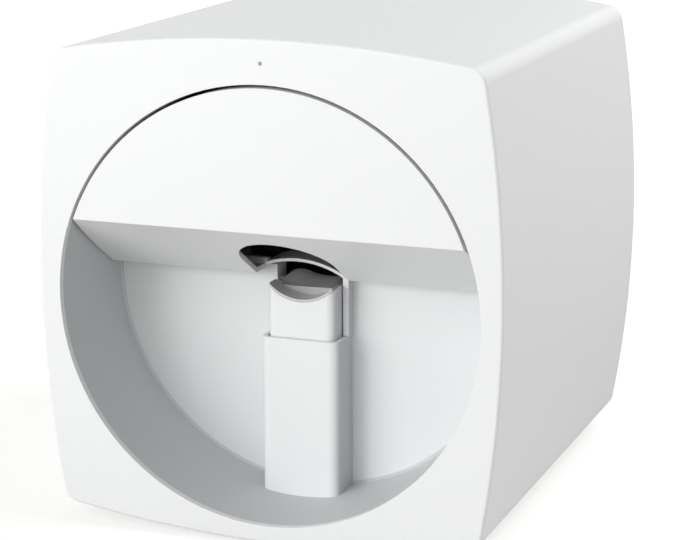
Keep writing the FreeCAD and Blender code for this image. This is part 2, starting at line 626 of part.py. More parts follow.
def finger_post():
    body = new_body("post")
    outline = sketch(body, "post_outline", "XY_Plane", f"{OPENING_Z}-post_drop")
    rectangle(outline, ("-" + POST_HALF, POST_HALF), (POST_FRONT, POST_BACK))
    pad(body, "post_block", outline, "post_drop+post_tip")
    round_edges(body, "post_round", "post_corner",
                lambda e: upright(e) and flat(e, "Y", number(POST_FRONT)))
    tongue = sketch(body, "post_tongue", "XY_Plane", f"{OPENING_Z}-post_drop")
    rectangle(tongue, ("-tongue_half", "tongue_half"), (f"{POST_BACK}-joint_lap", RECESS_BACK))
    pad(body, "tongue_block", tongue, "post_drop-tongue_drop")
    cradle = front_sketch(body, "cradle_round", RECESS_BACK)
    circle(cradle, "cradle_radius", "0", CRADLE_Z)
    pocket(body, "cradle_cut", cradle, f"{RECESS_BACK}-{POST_FRONT}+overcut", flip=True)
    node(body, "finger_post")


def lift_carrier():
    """Plate that fills the slot behind the post and runs up and down with it."""
    left = "(slot_shift-slot_half+carrier_gap)"
    plate = box("carrier_plate", (left, f"{STRIP_LEFT}-post_clearance"),
                (RECESS_BACK, f"{RECESS_BACK}+disc_wall"),
                (f"{OPENING_Z}-post_drop", f"{OPENING_Z}+post_tip"))
    trough = cylinder("carrier_trough", "cradle_radius", "y", ("0", CRADLE_Z),
                      (f"{RECESS_BACK}-overcut", f"{RECESS_BACK}+disc_wall+overcut"))
    node(cut("carrier", plate, trough), "lift_carrier")


def finger_pad():
    """Soft lining of the trough with a raised stop for the fingertip at its far end."""
    start = f"({POST_FRONT}+pad_setback)"
    end = f"({start}+pad_length)"
    stop_front = f"({POST_FRONT}+stop_setback)"
    bed = cylinder("pad_bed", "cradle_radius-pad_gap", "y", ("0", CRADLE_Z), (start, end))
    hollow = cylinder("pad_hollow", "cradle_radius-pad_gap-pad_lining", "y", ("0", CRADLE_Z),
                      (f"{start}-overcut", f"{end}+overcut"))
    trough = box("pad_trough", ("-cradle_radius", "cradle_radius"),
                 (start, f"{stop_front}+joint_lap"),
                 (f"{CRADLE_Z}-2*cradle_radius", f"{OPENING_Z}+post_tip-pad_edge_drop"))
    lining = common("pad_lining_part", cut("pad_ring", bed, hollow), trough)
    rear = cylinder("pad_rear", "cradle_radius-pad_gap", "y", ("0", CRADLE_Z),
                    (stop_front, end))
    mounds = []
    for name, middle in (("ledge", "0"), ("bump", "bump_shift")):
        mound = doc.addObject("Part::Ellipsoid", "pad_" + name)
        bind(mound, Radius1=name + "_rise", Radius2=name + "_half", Radius3="stop_reach")
        mounds.append(place(mound, middle, end, f"{OPENING_Z}+stop_middle"))
    stop = common("pad_stop", rear, fuse("pad_mounds", *mounds))
    node(fuse("pad", lining, stop), "finger_pad")


def finger_hood():
    """Arched guard over the fingertip, on a rail beside the post and a strip in the slot."""
    start, end = f"({FRONT}+hood_front)", f"({FRONT}+hood_front+hood_length)"
    middle = ("hood_shift", f"{OPENING_Z}+hood_top-hood_radius")
    outer = cylinder("hood_outer", "hood_radius", "y", middle, (start, end))
    inner = cylinder("hood_inner", "hood_radius-hood_wall", "y", middle, (start, end))
    keep = box("hood_keep", ("hood_shift-hood_left", STRIP_RIGHT), (start, end),
               (OPENING_Z, f"{OPENING_Z}+hood_top+overcut"))
    vault = common("hood_vault", cut("hood_ring", outer, inner), keep)
    side = box("hood_side", (f"{STRIP_RIGHT}-hood_wall", STRIP_RIGHT), (RECESS_BACK, end),
               (f"{OPENING_Z}-hood_side_drop", f"{OPENING_Z}+hood_side_rise"))
    back = f"({RECESS_BACK}+disc_wall)"
    strip = box("hood_strip", (STRIP_LEFT, STRIP_RIGHT), (RECESS_BACK, back),
                (f"{OPENING_Z}-strip_drop", f"{OPENING_Z}+hood_side_rise"))
    heel = box("hood_heel", (STRIP_LEFT, "slot_shift+slot_half"), (RECESS_BACK, back),
               (f"{OPENING_Z}-strip_drop", f"{OPENING_Z}-strip_drop+strip_heel"))
    rail = box("hood_rail", (f"{POST_HALF}+post_clearance", "slot_shift+slot_half+rail_lap"),
               (start, RECESS_BACK),
               (f"{OPENING_Z}-sleeve_drop+disc_gap", f"{OPENING_Z}+hood_side_rise"))
    node(fuse("hood", vault, side, strip, heel, rail), "finger_hood")


def coil(name, radius, wire, turns, length):
    """Helical spring along +Z from the origin."""
    helix = doc.addObject("Part::Helix", name + "_path")
    bind(helix, Radius=radius, Height=length, Pitch=f"({length})/({turns})")
    helix.SegmentLength = 1  # one edge a turn keeps the swept skin closed
    ring = doc.addObject("Part::Circle", name + "_wire")
    bind(ring, Radius=f"({wire})/2")
    ring.Placement = Placement(Vector(), Rotation(Vector(1, 0, 0), 90))
    place(ring, radius, "0", "0")
    doc.recompute()
    sweep = doc.addObject("Part::Sweep", name)
    sweep.Sections = [ring]
    sweep.Spine = (helix, [])
    sweep.Solid = True
    sweep.Frenet = True
    return sweep


def post_spring():
    length = f"({OPENING_Z}-post_drop-sleeve_floor-2*spring_wire)"
    spring = coil("lift_coil", "spring_radius", "spring_wire", "spring_coils", length)
    place(spring, "0", f"{POST_FRONT}+spring_setback", "sleeve_floor+spring_wire")
    node(spring, "post_spring")


# ------------------------------------------------------------------ small outside pieces
def status_light_pipe():
    middle = ("0", "light_height")
    seat = f"({FRONT}+face_wall)"
    rod = cylinder("light_rod", "light_radius", "y", middle, (FRONT, f"{FRONT}+light_length"))
    rim = cylinder("light_rim", "light_flange", "y", middle, (seat, f"{seat}+light_rim_wall"))
    node(fuse("light", rod, rim), "status_light_pipe")


def rubber_feet():
    feet = [cylinder(f"foot{index}", "foot_radius", "z", spot, ("0", "foot_thick"))
            for index, spot in enumerate(pairs("foot_x", ("foot_front", "foot_back")))]
    node(group("feet", *feet), "rubber_feet")


# ------------------------------------------------------------------ chassis
def chassis_base():
    body = new_body("base")
    outline = sketch(body, "base_outline", "XY_Plane", "chassis_floor")
    rectangle(outline, ("-chassis_half", "chassis_half"), ("chassis_front", "chassis_back+sheet_wall"))
    for x, y in pairs("standoff_x", ("standoff_front", "standoff_back")):
        circle(outline, "screw_radius+screw_clearance", x, y)
    pad(body, "base_plate", outline, "sheet_wall")
    node(body, "chassis_base")


def chassis_screws():
    screws = []
    for index, spot in enumerate(pairs("standoff_x", ("standoff_front", "standoff_back"))):
        head = cylinder(f"base_head{index}", "screw_head_radius", "z", spot,
                        (CHASSIS_TOP, f"{CHASSIS_TOP}+screw_head_height"))
        shank = cylinder(f"base_shank{index}", "screw_radius", "z", spot,
                          (f"{CHASSIS_TOP}-base_screw_length", CHASSIS_TOP))
        screws.append(fuse(f"base_screw{index}", head, shank))
    node(group("base_screw_set", *screws), "chassis_screws")


def bulkhead(label, front, extra):
    """Upright sheet with seats for the two long rods; extra adds cut-outs to its sketch."""
    body = new_body(label)
    outline = front_sketch(body, label + "_outline", f"{front}+sheet_wall")
    rectangle(outline, ("-chassis_half", "chassis_half"), (CHASSIS_TOP, "upright_top"))
    pad(body, label + "_plate", outline, "sheet_wall")
    holes = front_sketch(body, label + "_holes", f"{front}+sheet_wall")
    for side in ("-", ""):
        circle(holes, "rod_radius+rod_fit", side + "y_rod_x", "y_rod_z")
    extra(holes)
    pocket(body, label + "_cuts", holes, "sheet_wall", flip=True)
    node(body, label)


def front_bulkhead():
    bulkhead("front_bulkhead", "chassis_front", lambda drawing: rectangle(
        drawing, ("-window_half", "window_half"), ("window_sill", "upright_top+overcut")))


def rear_bulkhead():
    bulkhead("rear_bulkhead", "chassis_back", lambda drawing: circle(
        drawing, "lead_radius+lead_gap", "0", "screw_z"))


# ------------------------------------------------------------------ movement along the finger
def y_rods():
    span = ("chassis_front", "chassis_back+sheet_wall")
    rods = [cylinder("y_rod" + label, "rod_radius", "y", (side + "y_rod_x", "y_rod_z"), span)
            for side, label in (("-", "_left"), ("", "_right"))]
    node(group("y_rod_pair", *rods), "y_rods")


BUSH_RADIUS = "(rod_radius+rod_fit+bush_wall)"


def bush(name, axis, middle, start):
    span = (start, f"{start}+bush_length")
    outer = cylinder(name + "_outer", BUSH_RADIUS, axis, middle, span)
    return cut(name, outer, cylinder(name + "_bore", "rod_radius+rod_fit", axis, middle, span))


def y_bushes():
    bushes = []
    for side, label in (("-", "left"), ("", "right")):
        for start, end in (("block_front", "front"),
                           ("(block_front+block_length-bush_length)", "back")):
            bushes.append(bush(f"y_bush_{label}_{end}", "y", (side + "y_rod_x", "y_rod_z"), start))
    node(group("y_bush_set", *bushes), "y_bushes")


def gantry_frame():
    span_y, span_z = ("block_front", "block_front+block_length"), ("block_low", "block_high")
    solids, tools = [], []
    for side, label in (("-", "left"), ("", "right")):
        lines = (f"{side}y_rod_x-block_half", f"{side}y_rod_x+block_half")
        solids.append(box("block_" + label, lines, span_y, span_z))
        tools.append(cylinder("block_bore_" + label, BUSH_RADIUS, "y",
                              (side + "y_rod_x", "y_rod_z"), span_y))
    solids.append(box("beam", ("-y_rod_x", "y_rod_x"), ("beam_front", BEAM_BACK), span_z))
    for level in ("low", "high"):
        tools.append(cylinder("rod_seat_" + level, "rod_radius+rod_fit", "x",
                              ("x_rod_y", "x_rod_" + level), ("-" + X_ROD_END, X_ROD_END)))
    for side, label in (("-", "idler"), ("", "drive")):
        tools.append(cylinder(label + "_hole", "shaft_radius+rod_fit", "y",
                              (side + "pulley_x", "y_rod_z"),
                              ("beam_front-overcut", f"{BEAM_BACK}+overcut")))
    node(cut("gantry", fuse("gantry_solid", *solids), *tools), "gantry_frame")


def y_lead_screw():
    node(cylinder("lead_screw", "lead_radius", "y", ("0", "screw_z"),
                  ("lead_front", "chassis_back+sheet_wall-motor_gap")), "y_lead_screw")


def y_nut():
    span = ("nut_front", "nut_front+nut_length")
    block = box("nut_block", ("-nut_half", "nut_half"), span, ("nut_low", "block_low"))
    node(cut("nut", block, cylinder("nut_bore", "lead_radius+rod_fit", "y", ("0", "screw_z"), span)),
         "y_nut")


def y_motor():
    start = "(chassis_back+sheet_wall)"
    node(cylinder("long_motor", "y_motor_radius", "y", ("0", "screw_z"),
                  (start, f"{start}+y_motor_length")), "y_motor")


# ------------------------------------------------------------------ movement across the finger
def x_rods():
    rods = [cylinder("x_rod_" + level, "rod_radius", "x", ("x_rod_y", "x_rod_" + level),
                     ("-" + X_ROD_END, X_ROD_END)) for level in ("low", "high")]
    node(group("x_rod_pair", *rods), "x_rods")


def pulley(name, x, bore=None):
    """Belt wheel with two rims, its axis along Y."""
    middle = (x, "y_rod_z")
    end = "(pulley_front+pulley_width)"
    core = cylinder(name + "_core", "pulley_radius-pulley_gap", "y", middle,
                    ("pulley_front", end))
    rims = [cylinder(f"{name}_rim{index}", "pulley_radius+pulley_rim", "y", middle, span)
            for index, span in enumerate((("pulley_front", "pulley_front+rim_wall"),
                                          (f"{end}-rim_wall", end)))]
    wheel = fuse(name + "_wheel", core, *rims)
    if bore is None:
        return wheel
    return cut(name + "_bored", wheel, cylinder(name + "_bore", bore, "y", middle,
                                                ("pulley_front-overcut", f"{end}+overcut")))


def x_drive_pulley():
    shaft = cylinder("drive_shaft", "shaft_radius", "y", ("pulley_x", "y_rod_z"),
                     ("pulley_front", f"{BEAM_BACK}-motor_gap"))
    node(fuse("drive", pulley("drive_pulley", "pulley_x"), shaft), "x_drive_pulley")


def x_idler_pulley():
    node(pulley("idler", "-pulley_x", "shaft_radius+rod_fit"), "x_idler_pulley")
    node(cylinder("idler_pin", "shaft_radius", "y", ("-pulley_x", "y_rod_z"),
                  ("pulley_front-pulley_gap", BEAM_BACK)), "idler_axle")


def belt_loop(name, radius, span):
    """Round-ended loop round both pulleys."""
    ends = [cylinder(f"{name}_end{index}", radius, "y", (x, "y_rod_z"), span)
            for index, x in enumerate(("-pulley_x", "pulley_x"))]
    flat_ = box(name + "_middle", ("-pulley_x", "pulley_x"), span,
                (f"y_rod_z-({radius})", f"y_rod_z+({radius})"))
    return fuse(name, flat_, *ends)


def x_belt():
    start = "(pulley_front+(pulley_width-belt_width)/2)"
    span = (start, f"{start}+belt_width")
    node(cut("belt", belt_loop("belt_outside", "pulley_radius+belt_thick", span),
             belt_loop("belt_inside", "pulley_radius", span)), "x_belt")


def x_motor():
    node(cylinder("cross_motor", "x_motor_radius", "y", ("pulley_x", "y_rod_z"),
                  (BEAM_BACK, f"{BEAM_BACK}+x_motor_length")), "x_motor")


# ------------------------------------------------------------------ print carriage
def park(offset):
    return f"(park_x+({offset}))"


CARRIAGE_X = (park("-carriage_half"), park("carriage_half"))
PLATE_BACK = "(carriage_front+cradle_wall)"
EAR = "(latch_half+latch_gap)"


def x_carriage():
    wall_y = ("cartridge_front+cradle_wall", PLATE_BACK)
    solids = [box("carriage_plate", CARRIAGE_X, ("carriage_front", PLATE_BACK),
                  ("carriage_low", "carriage_high")),
              box("carriage_floor", CARRIAGE_X, wall_y,
                  ("carriage_low", "cartridge_low-cartridge_gap"))]
    tools = []
    for level in ("low", "high"):
        middle = ("x_rod_y", "x_rod_" + level)
        solids.append(box("bearing_" + level, CARRIAGE_X,
                          (f"{PLATE_BACK}-joint_lap", "pulley_front-bearing_gap"),
                          (f"x_rod_{level}-bearing_half", f"x_rod_{level}+bearing_half")))
        tools.append(cylinder("bearing_bore_" + level, BUSH_RADIUS, "x", middle, CARRIAGE_X))
    cheek = "(cartridge_half+cartridge_gap)"
    for name, lines in (("left", (CARRIAGE_X[0], park("-" + cheek))),
                        ("right", (park(cheek), CARRIAGE_X[1]))):
        solids.append(box("cheek_" + name, lines, wall_y, ("carriage_low", "cheek_high")))
    for name, lines in (("left", (park(f"-{EAR}-cradle_wall"), park("-" + EAR))),
                        ("right", (park(EAR), park(f"{EAR}+cradle_wall")))):
        ear_y = (f"{LATCH_Y}-latch_barrel-latch_rim", "carriage_front+joint_lap")
        solids.append(box("latch_ear_" + name, lines, ear_y,
                          ("cartridge_high+latch_gap", "carriage_high")))
        tools.append(cylinder("ear_hole_" + name, "pin_radius+rod_fit", "x",
                              (LATCH_Y, LATCH_Z), lines))
    solids.append(box("belt_jaw", (park("-jaw_half"), park("jaw_half")),
                      ("pulley_front-bearing_gap-joint_lap", "pulley_front+pulley_width"),
                      ("y_rod_z+pulley_radius-jaw_wall", "x_rod_high-bearing_half+jaw_wall")))
    tools.append(box("belt_groove", (park("-jaw_half-overcut"), park("jaw_half+overcut")),
                     ("pulley_front-bearing_gap", "pulley_front+pulley_width+overcut"),
                     ("y_rod_z+pulley_radius-belt_gap", "y_rod_z+pulley_radius+belt_thick+belt_gap")))
    tools.append(box("nozzle_window", (park("-nozzle_half-cartridge_gap"),
                                       park("nozzle_half+cartridge_gap")),
                     ("cartridge_front", "cartridge_front+nozzle_length+2*nozzle_margin"),
                     ("carriage_low-overcut", "cartridge_low")))
    node(cut("carriage", fuse("carriage_solid", *solids), *tools), "x_carriage")


def x_bushes():
    bushes = []
    for level in ("low", "high"):
        for end, start in (("left", CARRIAGE_X[0]), ("right", f"({CARRIAGE_X[1]}-bush_length)")):
            bushes.append(bush(f"x_bush_{level}_{end}", "x", ("x_rod_y", "x_rod_" + level), start))
    node(group("x_bush_set", *bushes), "x_bushes")


def ink_cartridge():
    body = new_body("cartridge")
    block = sketch(body, "cartridge_outline", "XY_Plane", "cartridge_low")
    rectangle(block, (park("-cartridge_half"), park("cartridge_half")),
              ("cartridge_front", "carriage_front-cartridge_gap"))
    pad(body, "cartridge_block", block, "cartridge_high-cartridge_low")
    round_edges(body, "cartridge_round", "cartridge_corner", upright)
    snout = sketch(body, "nozzle_outline", "XY_Plane", "cartridge_low")
    rectangle(snout, (park("-nozzle_half"), park("nozzle_half")),
              ("cartridge_front+nozzle_margin", "cartridge_front+nozzle_margin+nozzle_length"))
    pad(body, "nozzle_block", snout, "cartridge_low-nozzle_low", flip=True)
    node(body, "ink_cartridge")


def cartridge_latch():
    middle = (LATCH_Y, LATCH_Z)
    lines = (park("-latch_half"), park("latch_half"))
    barrel = cylinder("latch_roll", "latch_barrel", "x", middle, lines)
    arm = box("latch_arm", lines, (f"{LATCH_Y}-latch_reach", LATCH_Y),
              ("cartridge_high+latch_gap", "cartridge_high+latch_gap+latch_wall"))
    bore = cylinder("latch_bore", "pin_radius+rod_fit", "x", middle, lines)
    node(cut("latch", fuse("latch_solid", barrel, arm), bore), "cartridge_latch")
    node(cylinder("pin", "pin_radius", "x", middle, (park(f"-{EAR}-cradle_wall"),
                                                     park(f"{EAR}+cradle_wall"))), "latch_pin")


def nail_camera():
    right = CARRIAGE_X[0]
    left = f"({right}-2*camera_half)"
    front = "(cartridge_front+camera_setback)"
    node(box("camera_box", (left, right), (front, f"{front}+2*camera_half"),
             ("camera_low", "camera_low+camera_height")), "nail_camera")
    node(cylinder("lens", "lens_radius", "z", (f"{right}-camera_half", f"{front}+camera_half"),
                  ("camera_low-lens_length", "camera_low")), "camera_lens")


# ------------------------------------------------------------------ service parts and light
def service_tray():
    lines = (park("-tray_half"), park("tray_half"))
    span = ("tray_front", "tray_front+tray_length")
    outer = box("tray_outer", lines, span, ("window_sill", "tray_high"))
    inner = box("tray_inner", (park("-tray_half+tray_wall"), park("tray_half-tray_wall")),
                ("tray_front+tray_wall", "tray_front+tray_length-tray_wall"),
                ("window_sill+tray_wall", "tray_high+overcut"))
    node(cut("tray", outer, inner), "service_tray")
    inset = "(tray_wall+cap_gap)"
    pad_ = box("cap_block", (park(f"-tray_half+{inset}"), park(f"tray_half-{inset}")),
               (f"tray_front+{inset}", f"tray_front+tray_length-{inset}"),
               ("window_sill+tray_wall", "cap_high"))
    dish = box("cap_dish", (park("-nozzle_half"), park("nozzle_half")),
               ("cartridge_front+nozzle_margin", "cartridge_front+nozzle_margin+nozzle_length"),
               ("cap_high-cap_dish_depth", "cap_high+overcut"))
    node(cut("cap", pad_, dish), "cap_pad")


def light_bar():
    start = f"({RECESS_BACK}+disc_wall)"
    node(box("led_bar", ("-light_bar_half", "light_bar_half"), (start, f"{start}+light_bar_wall"),
             (f"{LIGHT_BAR_TOP}-light_bar_height", LIGHT_BAR_TOP)), "light_bar")


# ------------------------------------------------------------------ electronics and connections
def main_board():
    body = new_body("board")
    outline = front_sketch(body, "board_outline", BOARD_BACK)
    rectangle(outline, ("board_left", "board_right"), ("board_low", "board_high"))
    pad(body, "board_plate", outline, "board_wall")
    node(body, "main_board")


def board_spacers():
    spots = [(x, z) for x in ("board_left+spacer_inset", "board_right-spacer_inset")
             for z in ("board_low+spacer_inset", "board_high-spacer_inset")]
    spacers = [cylinder(f"spacer{index}", "spacer_radius", "y", spot,
                        ("chassis_back+sheet_wall", "board_front"))
               for index, spot in enumerate(spots)]
    node(group("spacer_set", *spacers), "board_spacers")


def port_block(name, x):
    return box(name, (f"{x}-port_half", f"{x}+port_half"), (BOARD_BACK, PORT_END),
               ("port_z-port_half", "port_z+port_half"))


def dc_inlet():
    middle, span = ("inlet_x", "port_z"), (f"{PORT_END}-port_depth", PORT_END)
    hole = cylinder("inlet_bore", "inlet_hole", "y", middle, span)
    pin = cylinder("inlet_post", "inlet_pin", "y", middle, (span[0], f"{PORT_END}-contact_inset"))
    node(fuse("inlet", cut("inlet_bored", port_block("inlet_block", "inlet_x"), hole), pin),
         "dc_inlet")


def usb_port():
    span = (f"{PORT_END}-port_depth", PORT_END)
    mouth = box("usb_mouth", ("usb_x-usb_mouth_half", "usb_x+usb_mouth_half"), span,
                ("port_z-usb_mouth_half", "port_z+usb_mouth_half"))
    tongue = box("usb_tongue", ("usb_x-usb_tongue_half", "usb_x+usb_tongue_half"),
                 (span[0], f"{PORT_END}-contact_inset"),
                 ("port_z-usb_tongue_half", "port_z+usb_tongue_half"))
    node(fuse("usb", cut("usb_bored", port_block("usb_block", "usb_x"), mouth), tongue),
         "usb_port")


def power_button():
    middle = ("button_x", "port_z")
    cap = cylinder("button_cap", "button_radius", "y", middle,
                   (f"{FLANGE_BACK}-joint_lap", f"{BACK}-button_sink"))
    flange = cylinder("button_collar", "button_radius+button_flange", "y", middle,
                      (f"{FLANGE_BACK}-button_flange", FLANGE_BACK))
    node(fuse("button", cap, flange), "power_button")


def button_housing():
    middle = ("button_x", "port_z")
    back = f"({BACK}-panel_wall)"
    front = f"({back}-housing_depth)"
    bore = "(button_radius+button_flange+button_gap)"
    cup = cylinder("cup_outer", f"{bore}+cradle_wall", "y", middle, (front, back))
    inside = cylinder("cup_inner", bore, "y", middle, (f"{front}+cradle_wall", back))
    node(cut("cup", cup, inside), "button_housing")


def button_spring():
    start = f"({BACK}-panel_wall-housing_depth+cradle_wall+button_wire)"
    end = f"({FLANGE_BACK}-button_flange-button_wire)"
    spring = coil("button_coil", "button_radius-button_wire", "button_wire", "button_coils",
                  f"{end}-{start}")
    spring.Placement = Placement(Vector(), TURN["y"])
    place(spring, "button_x", start, "port_z")
    node(spring, "button_spring")


PIECES = (
    main_shell, rear_panel, rear_screws, recess_liner, recess_back_wall, visor_cover,
    magnets_and_keepers, finger_sleeve, finger_post, lift_carrier, finger_pad, finger_hood,
    post_spring, status_light_pipe, rubber_feet, chassis_base, chassis_screws, front_bulkhead,
    rear_bulkhead, y_rods, y_bushes, gantry_frame, y_lead_screw, y_nut, y_motor, x_rods,
    x_drive_pulley, x_idler_pulley, x_belt, x_motor, x_carriage, x_bushes, ink_cartridge,
    cartridge_latch, nail_camera, service_tray, light_bar, main_board, board_spacers, dc_inlet,
    usb_port, power_button, button_housing, button_spring,
)


def check(items):
    """Stop on any failed object or broken shape."""
    for item in doc.Objects:
        if {"Invalid", "Error"} & set(item.State):
            raise RuntimeError(f"{item.Name} failed: {item.State}")
    for item in items:
        if item.Shape.isNull() or not item.Shape.isValid():
            raise RuntimeError(item.Label + " has no valid shape")


def main():
    for piece in PIECES:
        piece()
    doc.recompute()
    check(NODES)
    os.makedirs("parts", exist_ok=True)
    for item in NODES:
        item.Shape.exportStep(f"parts/{item.Label}.step")
        size = item.Shape.BoundBox
        print(f"{item.Label:20s} solids {len(item.Shape.Solids)} volume {item.Shape.Volume:9.0f}"
              f" box {size.XMin:.2f} {size.YMin:.2f} {size.ZMin:.2f}"
              f" {size.XMax:.2f} {size.YMax:.2f} {size.ZMax:.2f}")


main()
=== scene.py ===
# %% [markdown]
# # A desktop nail printer, dressed for its picture
#
# The machine's exact parts are already solid models. This lesson loads them as a fixed frame,
# gives each one the surface of its real material, and models the small parts that need more
# shape than a plain solid has: the soft cushion, the feet, the screws, the lead screw's thread
# and so on. Everything is in metres, +Z is up and the front of the machine looks along -Y.

# %% Load the frame
import math

import bmesh
import bpy
from mathutils import Matrix, Vector


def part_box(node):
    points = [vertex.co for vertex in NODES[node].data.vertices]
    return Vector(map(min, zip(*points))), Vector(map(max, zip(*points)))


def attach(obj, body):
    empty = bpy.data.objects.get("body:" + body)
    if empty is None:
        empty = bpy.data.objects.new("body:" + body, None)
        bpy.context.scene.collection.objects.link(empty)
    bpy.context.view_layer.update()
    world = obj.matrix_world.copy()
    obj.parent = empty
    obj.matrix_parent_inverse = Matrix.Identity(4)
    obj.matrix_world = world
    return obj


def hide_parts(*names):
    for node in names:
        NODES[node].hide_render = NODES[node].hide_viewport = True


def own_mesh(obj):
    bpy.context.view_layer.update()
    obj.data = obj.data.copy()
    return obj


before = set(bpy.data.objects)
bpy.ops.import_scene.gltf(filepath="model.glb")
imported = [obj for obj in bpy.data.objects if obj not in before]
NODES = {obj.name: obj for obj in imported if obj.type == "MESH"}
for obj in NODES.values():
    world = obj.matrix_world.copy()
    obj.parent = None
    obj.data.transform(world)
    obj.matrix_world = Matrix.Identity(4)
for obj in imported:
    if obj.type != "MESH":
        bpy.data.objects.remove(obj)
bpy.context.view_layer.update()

# %% [markdown]
# ## Small helpers
#
# Lengths are easier to read in millimetres, so one function turns them to metres. Colours are
# written as the usual hex codes, which are stored for a screen, and a shader wants them linear.

# %% Helpers for lengths and colours
MM = 0.001


def mm(*lengths):
    """Millimetres to metres, one value or a point."""
    scaled = tuple(length * MM for length in lengths)
    return scaled if len(scaled) > 1 else scaled[0]


def linear(code):
    """Screen hex colour to the linear colour that a shader takes."""
    channels = [int(code[i:i + 2], 16) / 255 for i in (1, 3, 5)]
    low = [c / 12.92 if c <= 0.04045 else ((c + 0.055) / 1.055) ** 2.4 for c in channels]
    return (*low, 1.0)


# %% [markdown]
# A material is a small graph of nodes. The one function below adds a node, sets what it is
# given, and links its inputs, whatever kind of node it is. Most of the finishes then need the
# same three steps: an empty material that knows where its surface is, a colour that varies
# between two shades, and a surface shader with its output.

# %% Add nodes and materials
def add_node(tree, kind, inputs=None, **settings):
    """New node of a kind; an input value that is a socket is linked, any other is set."""
    node = tree.nodes.new(kind)
    for name, value in settings.items():
        setattr(node, name, value)
    for name, value in (inputs or {}).items():
        if isinstance(value, bpy.types.NodeSocket):
            tree.links.new(value, node.inputs[name])
        else:
            node.inputs[name].default_value = value
    return node


def new_material(name):
    """Empty material, its graph, and the place of each point in the object's own space."""
    material = bpy.data.materials.new(name)
    material.use_nodes = True
    tree = material.node_tree
    tree.nodes.clear()
    return material, tree, add_node(tree, "ShaderNodeTexCoord").outputs["Object"]


def between(tree, factor, first, second):
    """Colour that goes from the first hex code to the second as factor goes from 0 to 1."""
    mix = add_node(tree, "ShaderNodeMix", {"Factor": factor}, data_type="RGBA")
    mix.inputs[6].default_value = linear(first)
    mix.inputs[7].default_value = linear(second)
    return mix.outputs[2]


def finish_material(tree, inputs):
    """Adds a surface shader with the given inputs, linked to the output."""
    shader = add_node(tree, "ShaderNodeBsdfPrincipled", inputs)
    add_node(tree, "ShaderNodeOutputMaterial", {"Surface": shader.outputs["BSDF"]})


def wear(nodes, material):
    """Puts a material on CAD nodes by name, or on pieces."""
    for item in nodes:
        piece = NODES[item] if isinstance(item, str) else item
        piece.data.materials.clear()
        piece.data.materials.append(material)


# %% [markdown]
# ## Moulded plastic and rubber
#
# The housing is ABS, pressed in a steel mould whose walls are etched with a fine grain. That
# grain scatters the light, so the plastic looks satin and even, and it catches a soft highlight
# along its rounded edges. Two noise patterns make it: a fine one, used as bump, and one as wide
# as a hand, which shifts the colour a little, as thick and thin walls do. Real grains are about a
# tenth of a millimetre wide, too fine to show, so they are drawn a few times as coarse. A bevel
# in the normal softens each sharp edge by a fraction of a millimetre, as a mould does.
# Rubber and silicone are made the same way, with a rougher surface and a little sheen.

# %% Moulded finishes
HAND = 90                # width of the slow colour changes, in millimetres
EDGE = 0.35              # edge radius that a mould leaves, in millimetres
ROUGHNESS_SPREAD = 0.04  # how far the roughness strays to either side
SIDE_SHADE_START, SIDE_SHADE_FULL = 0.7, 0.98  # how far sideways a face looks where its painted shade starts and is full


def moulded(name, pale, deep, roughness, grain, depth, sheen=0.0, sides=None):
    """Grained plastic; grain is the size of a grain and depth its height, in millimetres.

    Faces that look left or right take the colour of sides, where one is given: painted shade on
    the flanks.
    """
    material, tree, place = new_material(name)
    fine = add_node(tree, "ShaderNodeTexNoise",
                    {"Vector": place, "Scale": 1 / mm(grain), "Detail": 2.0})
    broad = add_node(tree, "ShaderNodeTexNoise",
                     {"Vector": place, "Scale": 1 / mm(HAND), "Detail": 1.0})
    rough = add_node(tree, "ShaderNodeMapRange",
                     {"Value": broad.outputs["Fac"], "To Min": roughness - ROUGHNESS_SPREAD,
                      "To Max": roughness + ROUGHNESS_SPREAD})
    soft_edge = add_node(tree, "ShaderNodeBevel", {"Radius": mm(EDGE)}, samples=4)
    bump = add_node(tree, "ShaderNodeBump",
                    {"Height": fine.outputs["Fac"], "Distance": mm(depth), "Strength": 1.0,
                     "Normal": soft_edge.outputs[0]})
    colour = between(tree, broad.outputs["Fac"], deep, pale)
    # Painted shade: faces that look left or right are drawn in the greyer colour of sides.
    if sides:
        way = add_node(tree, "ShaderNodeSeparateXYZ",
                       {0: add_node(tree, "ShaderNodeTexCoord").outputs["Normal"]})
        sideways = add_node(tree, "ShaderNodeMath", {0: way.outputs[0]}, operation="ABSOLUTE")
        share = add_node(tree, "ShaderNodeMapRange",
                         {"Value": sideways.outputs[0], "From Min": SIDE_SHADE_START,
                          "From Max": SIDE_SHADE_FULL})
        mix = add_node(tree, "ShaderNodeMix", {0: share.outputs["Result"], 6: colour},
                       data_type="RGBA")
        mix.inputs[7].default_value = linear(sides)
        colour = mix.outputs[2]
    finish_material(tree, {"Base Color": colour, "Roughness": rough.outputs["Result"],
                           "IOR": 1.53, "Sheen Weight": sheen,
                           "Normal": bump.outputs["Normal"]})
    return material
